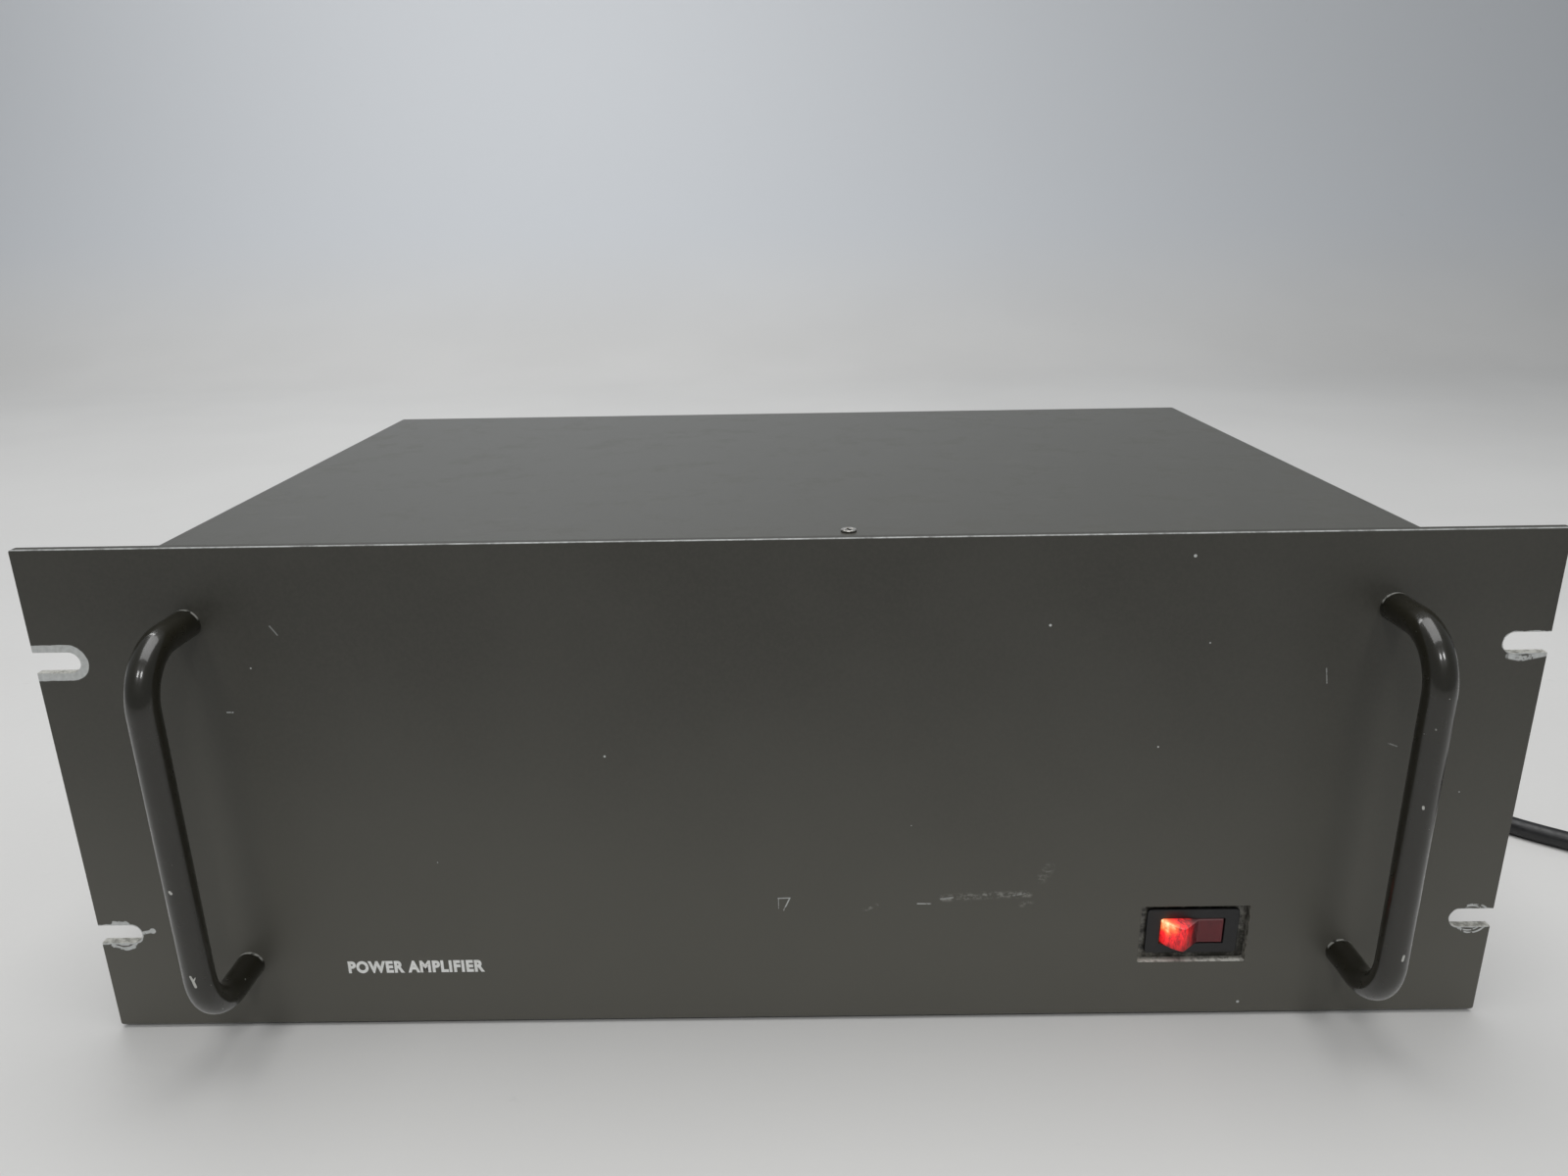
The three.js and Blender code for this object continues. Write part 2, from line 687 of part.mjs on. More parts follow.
// Six round power transistors on one insulated mounting strip.
function outputStage(side) {
  const inward = (from, to) => [side * from, side * to].sort((a, b) => a - b);
  const strip = block(inward(SINK.x - 2.5, SINK.x - GAP), [68, 222], about(DEVICE.z, 40));
  const cans = Array.from({ length: DEVICE.count }, (_, i) =>
    rodX(DEVICE.radius, inward(SINK.x - 10, SINK.x - 2), DEVICE.y + i * DEVICE.pitch, DEVICE.z),
  );
  return join(strip, ...cans);
}

function driverBoard(side) {
  const across = (from, to) => [side * from, side * to].sort((a, b) => a - b);
  const [y0, y1] = [72, 218];
  const [z0, z1] = [34, 128];
  const posts = [y0 + 6, y1 - 6].flatMap((y) =>
    [z0 + 6, z1 - 6].map((z) => rodX(3, across(BOARD_X + 1, SINK.x - GAP), y, z, 8)),
  );
  return join(
    block(across(BOARD_X, BOARD_X + SHEET), [y0, y1], [z0, z1]),
    ...posts,
    rodX(8, across(BOARD_X - 16, BOARD_X + 1), 100, 104, 16),
    rodX(8, across(BOARD_X - 16, BOARD_X + 1), 122, 104, 16),
    block(across(BOARD_X - 12, BOARD_X + 1), [150, 178], [88, 108]),
  );
}

for (const [name, side] of Object.entries(SIDES)) {
  add(`heat_sink_${name}`, heatSink(side), LOOK.anodised);
  add(`output_stage_${name}`, outputStage(side), LOOK.steel);
  add(`driver_board_${name}`, driverBoard(side), LOOK.board);
}

// ---------- Rear connectors ----------
const OUTSIDE = CASE.back + GAP; // the seat of what is fixed on the rear panel
const INSIDE = REAR_Y - GAP;
const STUD_SIDES = 14; // stud and insert alike, so that one slides along the other

function inputJack() {
  return turnedY(
    [
      [0, INSIDE - 8],
      [2, INSIDE - 8],
      [2, INSIDE - 3],
      [6.5, INSIDE - 3],
      [6.5, INSIDE],
      [3.9, INSIDE],
      [3.9, OUTSIDE],
      [6.5, OUTSIDE],
      [6.5, OUTSIDE + 2.7],
      [4.15, OUTSIDE + 2.7],
      [4.15, OUTSIDE + 11],
      [1.7, OUTSIDE + 11],
      [1.7, OUTSIDE + 3],
      [0, OUTSIDE + 3],
    ],
    12,
  );
}

// Insulating collar, nut and threaded stud, bored for a plug.
function bindingPost() {
  return turnedY(
    [
      [0, INSIDE - 10],
      [2, INSIDE - 10],
      [2, INSIDE - 4],
      [5.5, INSIDE - 4],
      [5.5, INSIDE],
      [3.9, INSIDE],
      [3.9, OUTSIDE],
      [7, OUTSIDE],
      [7, OUTSIDE + 3.7],
      [POST.stud, OUTSIDE + 3.7],
      [POST.stud, OUTSIDE + 19.7],
      [2.05, OUTSIDE + 19.7],
      [2.05, OUTSIDE + 5],
      [0, OUTSIDE + 5],
    ],
    STUD_SIDES,
  );
}

const POST_CAP = { outer: 7, bore: 5.1, mouth: 2.6, foot: OUTSIDE + 4, end: CASE.back + POST.reach };
const INSERT = { outer: 4.8, inner: POST.stud + 0.08, length: 12 };

function postInsert() {
  const foot = POST_CAP.foot + GAP;
  return turnedY(
    [
      [INSERT.inner, foot],
      [INSERT.outer, foot],
      [INSERT.outer, foot + INSERT.length],
      [INSERT.inner, foot + INSERT.length],
      [INSERT.inner, foot],
    ],
    STUD_SIDES,
  );
}

function postCap() {
  const { outer, bore, mouth, foot, end } = POST_CAP;
  return turnedY(
    [
      [bore, foot],
      [outer, foot],
      [outer, end - 1],
      [outer - 1, end],
      [mouth, end],
      [mouth, end - 3],
      [bore, end - 3],
      [bore, foot],
    ],
    16,
  );
}

function fuseHolder() {
  return turnedY(
    [
      [0, 222],
      [7, 222],
      [7, INSIDE],
      [6.2, INSIDE],
      [6.2, OUTSIDE],
      [9, OUTSIDE],
      [9, OUTSIDE + 3],
      [4.6, OUTSIDE + 3],
      [4.6, 226],
      [0, 226],
    ],
    16,
  );
}

function fuseCap() {
  const knob = turnedY(
    [
      [0, 230],
      [4, 230],
      [4, OUTSIDE + 3 + GAP],
      [7.6, OUTSIDE + 3 + GAP],
      [7.2, OUTSIDE + 13],
      [0, OUTSIDE + 13],
    ],
    16,
  );
  const driverSlot = block(about(0, 9), [OUTSIDE + 11.5, OUTSIDE + 14], about(0, 1.4));
  return cut(knob, driverSlot);
}

JACK.x.forEach((x, i) => {
  const name = ["left", "right"][i];
  add(`input_jack_${name}`, inputJack(), LOOK.brass).position.set(x, 0, JACK.z);
});
POST.x.forEach((x, i) => {
  const name = ["left_black", "left_red", "right_black", "right_red"][i];
  const colour = i % 2 ? LOOK.redPlastic : LOOK.blackPlastic;
  add(`post_stud_${name}`, bindingPost(), LOOK.brass).position.set(x, 0, POST.z);
  add(`post_insert_${name}`, postInsert(), LOOK.brass).position.set(x, 0, POST.z);
  add(`post_cap_${name}`, postCap(), colour).position.set(x, 0, POST.z);
});
add("fuse_holder", fuseHolder(), LOOK.blackPlastic).position.set(FUSE.x, 0, FUSE.z);
add("fuse_cap", fuseCap(), LOOK.blackPlastic).position.set(FUSE.x, 0, FUSE.z);

// ---------- Mains cord ----------
const RELIEF_END = 284;
const CORD_Z = CORD.radius + 0.1; // on the surface
// The cord from its strain relief to the coil: out of the back, down, and round the right side.
const ROUTE = [
  [150, RELIEF_END + GAP, 34],
  [150, 294, 33.6],
  [151, 306, 31],
  [154, 318, 25.5],
  [161, 330, 17],
  [173, 340, 9],
  [190, 346, 4.8],
  [210, 346, CORD_Z],
  [230, 340, CORD_Z],
  [249, 329, CORD_Z],
  [265, 314, CORD_Z],
  [278, 296, CORD_Z],
  [287, 275, CORD_Z],
  [292, 253, CORD_Z],
  [294, 230, CORD_Z],
  [295, 206, CORD_Z],
  [297, 182, CORD_Z],
  [303, 159, CORD_Z],
  [314, 138, CORD_Z],
  [329, 120, CORD_Z],
  [347, 105, CORD_Z],
  [361, 94.5, CORD_Z],
  [375.9, 83.3, CORD_Z],
];
// Its last stretch, along the coil's outer turn.
const ENTRY = [
  [376.2, 83.1, CORD_Z],
  [401.4, 64.2, CORD_Z],
];
// From the coil's upper turns down to the plug.
const TAIL = [
  [386, 109, 11],
  [386, 97, 11],
  [386, 86, 11.8],
  [386, 75, 12.3],
  [386, 63, 12.3],
  [386, 52, 12.3],
];

const through = (points) =>
  new THREE.CatmullRomCurve3(points.map((p) => new THREE.Vector3(...p)), false, "centripetal");

function strainRelief() {
  return turnedY(
    [
      [0, INSIDE - 3],
      [7.6, INSIDE - 3],
      [7.6, OUTSIDE],
      [10.5, OUTSIDE],
      [10.5, OUTSIDE + 3],
      [8.2, OUTSIDE + 4],
      [5.3, RELIEF_END],
      [0, RELIEF_END],
    ],
    16,
  );
}

function cordCoil() {
  const [upperInner, upperOuter] = COIL.upper;
  const ring = turnedZ(
    [
      [COIL.inner, 0],
      [COIL.outer, 0],
      [COIL.outer, COIL.layer],
      [upperOuter, COIL.layer],
      [upperOuter, COIL.height],
      [upperInner, COIL.height],
      [upperInner, COIL.layer],
      [COIL.inner, COIL.layer],
      [COIL.inner, 0],
    ],
    24,
  ).translate(COIL.x, COIL.y, 0);
  const entry = bar(through(ENTRY), CORD.radius, 8, 1);
  return join(ring, entry, bar(through(TAIL), CORD.radius, 8, 8));
}

// Moulded three-pin plug, its cord end at the origin and its pins along +X.
function mainsPlug() {
  const neck = turnedY([[0, 0], [5.2, 0], [8, 14], [0, 14]], 12).rotateZ(-Math.PI / 2);
  const pins = [-6.35, 6.35].map((y) => block([49, 67], about(y, 1.5), about(4, 6.3)));
  return join(
    neck,
    block([13, 50], about(0, 25), about(0, 24)),
    ...pins,
    rodX(2.4, [49, 69], 0, -7.9, 10),
  );
}

const [cordX, cordZ] = CORD.exit;
add("strain_relief", strainRelief(), LOOK.rubber).position.set(cordX, 0, cordZ);
add("mains_cord", bar(through(ROUTE), CORD.radius, 8, 30), LOOK.rubber);
add("mains_cord_coil", cordCoil(), LOOK.rubber);
const plug = add("mains_plug", mainsPlug(), LOOK.rubber);
const [tailX, tailY, tailZ] = TAIL.at(-1);
const PLUG_ANGLE = -90;
plug.position.set(tailX, tailY, tailZ);
plug.rotation.z = THREE.MathUtils.degToRad(PLUG_ANGLE);
plug.translateX(GAP);

export default amplifier;
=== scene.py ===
"""The looks of a rack power amplifier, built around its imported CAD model.

Shapes are written in millimetres: x to the right, y back from the front panel's front face,
z up from the table. finished() turns them into the frame's metres.
"""
import math

import bmesh
import bpy
from mathutils import Matrix, Vector


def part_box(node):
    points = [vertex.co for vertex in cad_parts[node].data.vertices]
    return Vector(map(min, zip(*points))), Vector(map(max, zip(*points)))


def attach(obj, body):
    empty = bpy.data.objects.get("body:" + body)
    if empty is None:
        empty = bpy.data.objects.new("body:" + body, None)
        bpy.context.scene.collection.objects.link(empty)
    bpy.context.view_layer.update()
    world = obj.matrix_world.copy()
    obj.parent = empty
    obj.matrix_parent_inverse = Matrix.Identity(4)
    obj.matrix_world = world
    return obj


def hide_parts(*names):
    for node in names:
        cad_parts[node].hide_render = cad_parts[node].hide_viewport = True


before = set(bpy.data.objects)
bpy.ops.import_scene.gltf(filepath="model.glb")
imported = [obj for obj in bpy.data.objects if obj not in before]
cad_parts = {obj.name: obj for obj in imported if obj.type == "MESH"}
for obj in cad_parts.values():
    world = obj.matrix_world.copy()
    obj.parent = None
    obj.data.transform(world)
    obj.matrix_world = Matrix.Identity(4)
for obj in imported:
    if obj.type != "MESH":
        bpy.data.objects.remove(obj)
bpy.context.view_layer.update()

MM = 0.001
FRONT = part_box("front_panel")[0][1]  # y of the front panel's front face
TO_FRAME = Matrix.Translation((0, FRONT, 0)) @ Matrix.Scale(MM, 4)
SIDES = {"left": -1, "right": 1}
CASE_HALF = 203.2  # half of its width
CASE_TOP = 175.8
CASE_BOTTOM = 9.5
CASE_BACK = 254


def at(x, y, z):
    """A place in millimetres as a place in the frame."""
    return TO_FRAME @ Vector((x, y, z))


def span(node):
    """A CAD node's low and high corners in millimetres, y counted from the panel's front face."""
    back_again = TO_FRAME.inverted()
    return [back_again @ Vector(corner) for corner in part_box(node)]


def middle(node):
    """The middle of a CAD node's box in millimetres."""
    low, high = span(node)
    return (low + high) / 2


def placed(name, data):
    """A new object in the scene that holds some data."""
    thing = bpy.data.objects.new(name, data)
    bpy.context.collection.objects.link(thing)
    return thing


# ---------- Camera ----------
CAMERA_PLACE = (1.39, -332.2, 271.25)
CAMERA_LENS = 25.69
CAMERA_PITCH = -0.3162
CAMERA_YAW = 0.0075
CAMERA_ROLL = 0.0168


def make_camera():
    camera = placed("camera", bpy.data.cameras.new("camera"))
    camera.data.lens = CAMERA_LENS
    camera.data.sensor_width = 36
    camera.data.clip_start = 0.01
    yaw = Matrix.Rotation(CAMERA_YAW, 4, "Z")
    pitch = Matrix.Rotation(CAMERA_PITCH, 4, "X")
    roll = Matrix.Rotation(CAMERA_ROLL, 4, "Y")
    level = Matrix.Rotation(math.pi / 2, 4, "X")
    place = Matrix.Translation(at(*CAMERA_PLACE))
    camera.matrix_world = place @ yaw @ pitch @ roll @ level
    bpy.context.scene.camera = camera


make_camera()


# ---------- Shader nodes ----------
class Shader:
    """A material made of nodes, its patterns laid out in the object's own metres."""

    def __init__(self, name, **sockets):
        self.material = bpy.data.materials.new(name)
        self.material.use_nodes = True
        self.tree = self.material.node_tree
        self.surface = self.tree.nodes["Principled BSDF"]
        self.place = self.tree.nodes.new("ShaderNodeTexCoord").outputs["Object"]
        for socket, value in sockets.items():
            self.surface.inputs[socket.replace("_", " ")].default_value = value

    def put(self, value, socket):
        """Links an output to a socket, or writes a plain value on it."""
        if isinstance(value, bpy.types.NodeSocket):
            self.tree.links.new(value, socket)
        else:
            socket.default_value = value

    def node(self, kind, inputs, **settings):
        """A new node. inputs says what goes into its sockets, by name or number."""
        node = self.tree.nodes.new("ShaderNode" + kind)
        for name, value in settings.items():
            setattr(node, name, value)
        for socket, value in inputs.items():
            self.put(value, node.inputs[socket])
        return node

    def math(self, operation, *values):
        return self.node("Math", dict(enumerate(values)), operation=operation).outputs[0]

    def vector(self, operation, a, b):
        node = self.node("VectorMath", {0: a, 1: b}, operation=operation)
        return node.outputs["Value" if operation in ("DOT_PRODUCT", "DISTANCE") else "Vector"]

    def times(self, a, b):
        return self.math("MULTIPLY", a, b)

    def axis(self, index):
        """The place along x, y or z in metres."""
        return self.node("SeparateXYZ", {0: self.place}).outputs[index]

    def millimetres(self, index):
        """The place along x, y or z in millimetres."""
        return self.times(self.axis(index), 1 / MM)

    def noise(self, size, detail=2.0, roughness=0.5, stretch=(1, 1, 1)):
        """Noise whose features are about size millimetres across."""
        inputs = {"Scale": 1 / (size * MM), "Detail": detail, "Roughness": roughness}
        inputs["Vector"] = self.vector("MULTIPLY", self.place, stretch)
        return self.node("TexNoise", inputs).outputs["Fac"]

    def ramp(self, value, low, high, start=0.0, end=1.0):
        """value from low..high to start..end, clamped and eased."""
        inputs = {"Value": value, "From Min": low, "From Max": high, "To Min": start, "To Max": end}
        return self.node("MapRange", inputs, interpolation_type="SMOOTHSTEP").outputs["Result"]

    def fall(self, value, low, high):
        """value from low..high to 1..0, clamped and eased."""
        return self.ramp(value, low, high, 1.0, 0.0)

    def mix(self, share, a, b):
        """Colour a where share is 0, and b where it is 1."""
        a, b = (opaque(colour) if isinstance(colour, tuple) else colour for colour in (a, b))
        return self.node("Mix", {0: share, 6: a, 7: b}, data_type="RGBA").outputs[2]

    def bump(self, height, depth):
        """A bump of depth millimetres, on top of those made before."""
        normal = self.surface.inputs["Normal"]
        inputs = {"Strength": 1.0, "Distance": depth * MM, "Height": height}
        if normal.is_linked:
            inputs["Normal"] = normal.links[0].from_socket
        self.put(self.node("Bump", inputs).outputs[0], normal)

    def color(self, share, a, b):
        """Base colour a where share is 0, and b where it is 1."""
        self.put(self.mix(share, a, b), self.surface.inputs["Base Color"])

    def glow(self, share, a, b):
        """Emission colour a where share is 0, and b where it is 1."""
        self.put(self.mix(share, a, b), self.surface.inputs["Emission Color"])

    def roughness(self, value):
        self.put(value, self.surface.inputs["Roughness"])

    def uneven_roughness(self, size, detail, low, high):
        """Roughness between low and high, in patches about size millimetres across."""
        self.roughness(self.ramp(self.noise(size, detail), 0.3, 0.7, low, high))

    def metallic(self, value):
        self.put(value, self.surface.inputs["Metallic"])

    def near_line(self, start, end):
        """Distance in millimetres to the line between two places, given as frame metres."""
        start, end = Vector(start), Vector(end)
        along = end - start
        from_start = self.vector("SUBTRACT", self.place, tuple(start))
        share = self.vector("DOT_PRODUCT", from_start, tuple(along / along.length_squared))
        clamped = self.math("MINIMUM", self.math("MAXIMUM", share, 0.0), 1.0)
        scaled = self.node("VectorMath", {0: tuple(along), "Scale": clamped}, operation="SCALE")
        distance = self.vector("DISTANCE", from_start, scaled.outputs[0])
        return self.times(distance, 1 / MM)

    def any_of(self, masks):
        """The strongest of several masks."""
        strongest, *others = masks
        for mask in others:
            strongest = self.math("MAXIMUM", strongest, mask)
        return strongest


def opaque(colour):
    return (*colour, 1.0)


def lit(value):
    """A tone of 0 to 255 as the picture shows it, as linear light."""
    share = value / 255
    return share / 12.92 if share <= 0.04045 else ((share + 0.055) / 1.055) ** 2.4


def tone(red, green, blue):
    return (lit(red), lit(green), lit(blue))


# ---------- Shapes, in millimetres ----------
def mesh_of(bm):
    bmesh.ops.recalc_face_normals(bm, faces=bm.faces)
    mesh = bpy.data.meshes.new("shape")
    bm.to_mesh(mesh)
    bm.free()
    return mesh


def opened(mesh):
    """A mesh as a bmesh to work on. The mesh itself is removed."""
    bm = bmesh.new()
    bm.from_mesh(mesh)
    bpy.data.meshes.remove(mesh)
    return bm


def meshed(curve):
    """A curve or text as a mesh. The curve itself is removed."""
    holder = bpy.data.objects.new("holder", curve)
    mesh = bpy.data.meshes.new_from_object(holder)
    bpy.data.objects.remove(holder)
    bpy.data.curves.remove(curve)
    return mesh


def finished(name, mesh, look, *nodes, body="chassis", sharp=40):
    """A mesh in millimetres as a piece that rides on its body and replaces CAD nodes."""
    material = LOOKS[look]
    mesh.transform(TO_FRAME)
    mesh.name = name
    if material not in list(mesh.materials):
        mesh.materials.clear()
        mesh.materials.append(material)
    mesh.shade_smooth()
    mesh.set_sharp_from_angle(angle=math.radians(sharp))
    piece = placed(name, mesh)
    weighted = piece.modifiers.new("flat_faces_stay_flat", "WEIGHTED_NORMAL")
    weighted.keep_sharp = True
    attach(piece, body)
    if nodes:
        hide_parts(*nodes)
    return piece


def joined(*meshes):
    """Several meshes as one. The first one's materials are those of all."""
    bm = bmesh.new()
    materials = list(meshes[0].materials)
    for mesh in meshes:
        bm.from_mesh(mesh)
        bpy.data.meshes.remove(mesh)
    mesh = bpy.data.meshes.new("joined")
    for material in materials:
        mesh.materials.append(material)
    bm.to_mesh(mesh)
    bm.free()
    return mesh


def moved(mesh, *matrices):
    for matrix in matrices:
        mesh.transform(matrix)
    return mesh


def shift(x=0.0, y=0.0, z=0.0):
    return Matrix.Translation((x, y, z))


def turn(degrees, axis):
    return Matrix.Rotation(math.radians(degrees), 4, axis)


# A flat thing made along Z lies facing the front, its Z to -Y, after this turn.
UPRIGHT = Matrix.Rotation(math.pi / 2, 4, "X")
# A turned thing made along Z points back, along +Y, after this one.
BACKWARD = Matrix.Rotation(-math.pi / 2, 4, "X")


def copied(mesh, *matrices):
    return moved(mesh.copy(), *matrices)


def copies(mesh, places):
    """A copy of a mesh at each place, which is a list of matrices. The mesh itself is removed."""
    made = [copied(mesh, *place) for place in places]
    bpy.data.meshes.remove(mesh)
    return made


def arc(cx, cy, radius, start, end, steps):
    """Points on a circle between two angles in degrees."""
    angles = [math.radians(start + (end - start) * i / steps) for i in range(steps + 1)]
    return [(cx + radius * math.cos(a), cy + radius * math.sin(a)) for a in angles]


def circle(cx, cy, radius, sides=32):
    return arc(cx, cy, radius, 0, 360 - 360 / sides, sides - 1)


def rectangle(cx, cy, width, height, radius=0.0, steps=4):
    """A rectangle with rounded corners."""
    x, y = width / 2 - radius, height / 2 - radius
    if radius == 0:
        return [(cx + x, cy + y), (cx - x, cy + y), (cx - x, cy - y), (cx + x, cy - y)]
    corners = [(x, y, 0), (-x, y, 90), (-x, -y, 180), (x, -y, 270)]
    return [
        point
        for dx, dy, start in corners
        for point in arc(cx + dx, cy + dy, radius, start, start + 90, steps)
    ]


def slotted(cx, cy, width, height, steps):
    """A slot with round ends, upright if it is higher than it is wide."""
    return rectangle(cx, cy, width, height, min(width, height) / 2 - 1e-3, steps)


def plate(outline, holes, thick, bevel=0.3, rounds=2):
    """A flat plate with holes and rounded edges, from z = -thick to z = 0."""
    curve = bpy.data.curves.new("outline", "CURVE")
    curve.dimensions = "2D"
    curve.fill_mode = "BOTH"
    curve.extrude = thick / 2 - bevel
    curve.bevel_depth = bevel
    curve.bevel_resolution = rounds - 1
    curve.offset = -bevel
    for ring in (outline, *holes):
        spline = curve.splines.new("POLY")
        spline.points.add(len(ring) - 1)
        for point, (x, y) in zip(spline.points, ring):
            point.co = (x, y, 0, 1)
        spline.use_cyclic_u = True
    bm = opened(meshed(curve))
    bmesh.ops.remove_doubles(bm, verts=bm.verts, dist=1e-3)
    bmesh.ops.translate(bm, verts=bm.verts, vec=(0, 0, -thick / 2))
    return mesh_of(bm)


def folded(mesh, bends):
    """Folds a flat sheet down at each of its bends, which are (x, radius) counted from x = 0."""
    cuts = 6
    bm = opened(mesh)
    for x, radius in bends:
        length = math.copysign(radius * math.pi / 2, x)
        for i in range(cuts + 1):
            everything = bm.verts[:] + bm.edges[:] + bm.faces[:]
            line = (x + length * i / cuts, 0, 0)
            bmesh.ops.bisect_plane(bm, geom=everything, plane_co=line, plane_no=(1, 0, 0))
    for vertex in bm.verts:
        vertex.co = folded_place(vertex.co, bends)
    return mesh_of(bm)


def folded_place(place, bends):
    """Where a point of the flat sheet goes: past a bend it has turned down by 90 degrees."""
    for x, radius in bends:
        side = math.copysign(1, x)
        beyond = side * place.x - abs(x)
        if beyond <= 0:
            continue
        angle = min(beyond / radius, math.pi / 2)
        rest = beyond - angle * radius
        reach = radius + place.z
        out = abs(x) + reach * math.sin(angle) + rest * math.cos(angle)
        down = -radius + reach * math.cos(angle) - rest * math.sin(angle)
        return Vector((side * out, place.y, down))
    return place


def lathe(profile, sides=48, soften=0.3, rounds=2):
    """A turned solid from [radius, height] pairs, its axis along Z and its corners rounded."""
    bm = bmesh.new()
    rings = []
    for radius, height in softened(profile, soften, rounds):
        outline = [(0, 0)] if radius < 1e-6 else circle(0, 0, radius, sides)
        rings.append([bm.verts.new((x, y, height)) for x, y in outline])
    pairs = list(zip(rings, rings[1:]))
    if len(rings[0]) > 1 and len(rings[-1]) > 1:
        pairs.append((rings[-1], rings[0]))
    for lower, upper in pairs:
        bridge(bm, lower, upper)
    return mesh_of(bm)


def cylinder(inner, outer, low, high, sides=24, soften=0.3, rounds=2):
    """A turned pin from low to high along Z or, with an inner radius, a pipe."""
    profile = [(inner, low), (outer, low), (outer, high), (inner, high)]
    return lathe(profile, sides, soften, rounds)


def softened(profile, soften, rounds):
    """The profile with each sharp corner cut back into a short curve."""
    points = [Vector(p) for p in profile]
    on_axis = min(profile[0][0], profile[-1][0]) < 1e-6
    result = []
    for i, point in enumerate(points):
        before, after = points[i - 1], points[(i + 1) % len(points)]
        straight = (point - before).angle(after - point, 0) < math.radians(12)
        if soften == 0 or straight or (on_axis and i in (0, len(points) - 1)):
            result.append(point)
            continue
        reach = min(soften, (before - point).length / 2.2, (after - point).length / 2.2)
        result += corner_curve(before, point, after, reach, rounds)
    return result


def corner_curve(before, corner, after, reach, steps):
    """A curve in place of a corner, from reach before it to reach after it."""
    start = corner + (before - corner).normalized() * reach
    end = corner + (after - corner).normalized() * reach
    shares = [k / steps for k in range(steps + 1)]
    return [start * (1 - t) ** 2 + corner * 2 * t * (1 - t) + end * t**2 for t in shares]


def bridge(bm, lower, upper):
    """Faces between two rings of vertices, either of which may be one point."""
    if len(lower) == 1 and len(upper) == 1:
        return
    sides = max(len(lower), len(upper))
    for i in range(sides):
        j = (i + 1) % sides
        if len(lower) == 1:
            bm.faces.new((lower[0], upper[j], upper[i]))
        elif len(upper) == 1:
            bm.faces.new((lower[i], lower[j], upper[0]))
        else:
            bm.faces.new((lower[i], lower[j], upper[j], upper[i]))


def tube(points, section, closed=False, up=None):
    """Sweeps a section of (u, v) points along a path without a twist. u starts out along up."""
    points = [Vector(p) for p in points]
    count = len(points)
    bm = bmesh.new()
    rings = []
    normal = Vector(up) if up else None
    for i, point in enumerate(points):
        ahead = points[(i + 1) % count] if closed or i + 1 < count else point
        behind = points[i - 1] if closed or i > 0 else point
        heading = (ahead - behind).normalized()
        if normal is None:
            normal = heading.orthogonal().normalized()
        normal = (normal - heading * normal.dot(heading)).normalized()
        across = heading.cross(normal)
        rings.append([bm.verts.new(point + normal * u + across * v) for u, v in section])
    for lower, upper in zip(rings, rings[1:]):
        bridge(bm, lower, upper)
    if closed:
        bridge_nearest(bm, rings[-1], rings[0])
    else:
        bm.faces.new(rings[0])
        bm.faces.new(rings[-1])
    return mesh_of(bm)


def bridge_nearest(bm, lower, upper):
    """Joins the last ring of a closed sweep to the first, turned to the nearest vertices."""
    start = min(range(len(upper)), key=lambda i: (upper[i].co - lower[0].co).length)
    bridge(bm, lower, upper[start:] + upper[:start])


def ring(radius, wire, sides=48, around=10):
    """A round wire bent into a ring about Z."""
    path = [(x, y, 0) for x, y in circle(0, 0, radius, sides)]
    return tube(path, circle(0, 0, wire, around), closed=True)


def rounded_box(x, y, z, bevel=0.6, rounds=2):
    """A box from its [low, high] along each axis, with rounded edges."""
    bm = bmesh.new()
    bmesh.ops.create_cube(bm, size=1)
    size = [b - a for a, b in (x, y, z)]
    bmesh.ops.scale(bm, vec=size, verts=bm.verts)
    bmesh.ops.translate(bm, vec=[(a + b) / 2 for a, b in (x, y, z)], verts=bm.verts)
    bmesh.ops.bevel(
        bm, geom=bm.edges[:], offset=bevel, segments=rounds, profile=0.5, affect="EDGES"
    )
    return mesh_of(bm)


def about(centre, width):
    return (centre - width / 2, centre + width / 2)


# ---------- Mains cord ----------
CORD_RADIUS = 4
ON_TABLE = CORD_RADIUS + 0.1
RELIEF_END = 284
DOWN_TO_TABLE = [
    (150, RELIEF_END + 0.3, 34),
    (150, 294, 33.6),
    (151, 306, 31),
    (154, 318, 25.5),
    (161, 330, 17),
    (173, 340, 9),
    (190, 346, 4.8),
]
ALONG_TABLE = [
    (210, 346), (230, 340), (249, 329), (265, 314), (278, 296), (287, 275), (292, 253), (294, 230),
    (295, 206), (297, 182), (303, 159), (314, 138), (329, 120), (347, 105), (361, 94.5), (376, 83.2),
]
ROUTE = DOWN_TO_TABLE + [(x, y, ON_TABLE) for x, y in ALONG_TABLE]
TAIL = [
    (386, 97, 11),
    (386, 86, 11.8),
    (386, 75, 12.3),
    (386, 63, 12.3),
    (386, 52, 12.3),
]
COIL_X = 435
COIL_Y = 109
COIL_START = -126.87  # degrees
COIL_TURNS = 4.8525
COIL_INWARD = 3  # turns on the table, outside in
COIL_CLIMB = 0.25  # turns over which it climbs onto them
COIL_OUTER = 56
COIL_PITCH = 8
COIL_LIFT = 6.93  # of the upper turns over the lower ones
POINTS_PER_TURN = 60


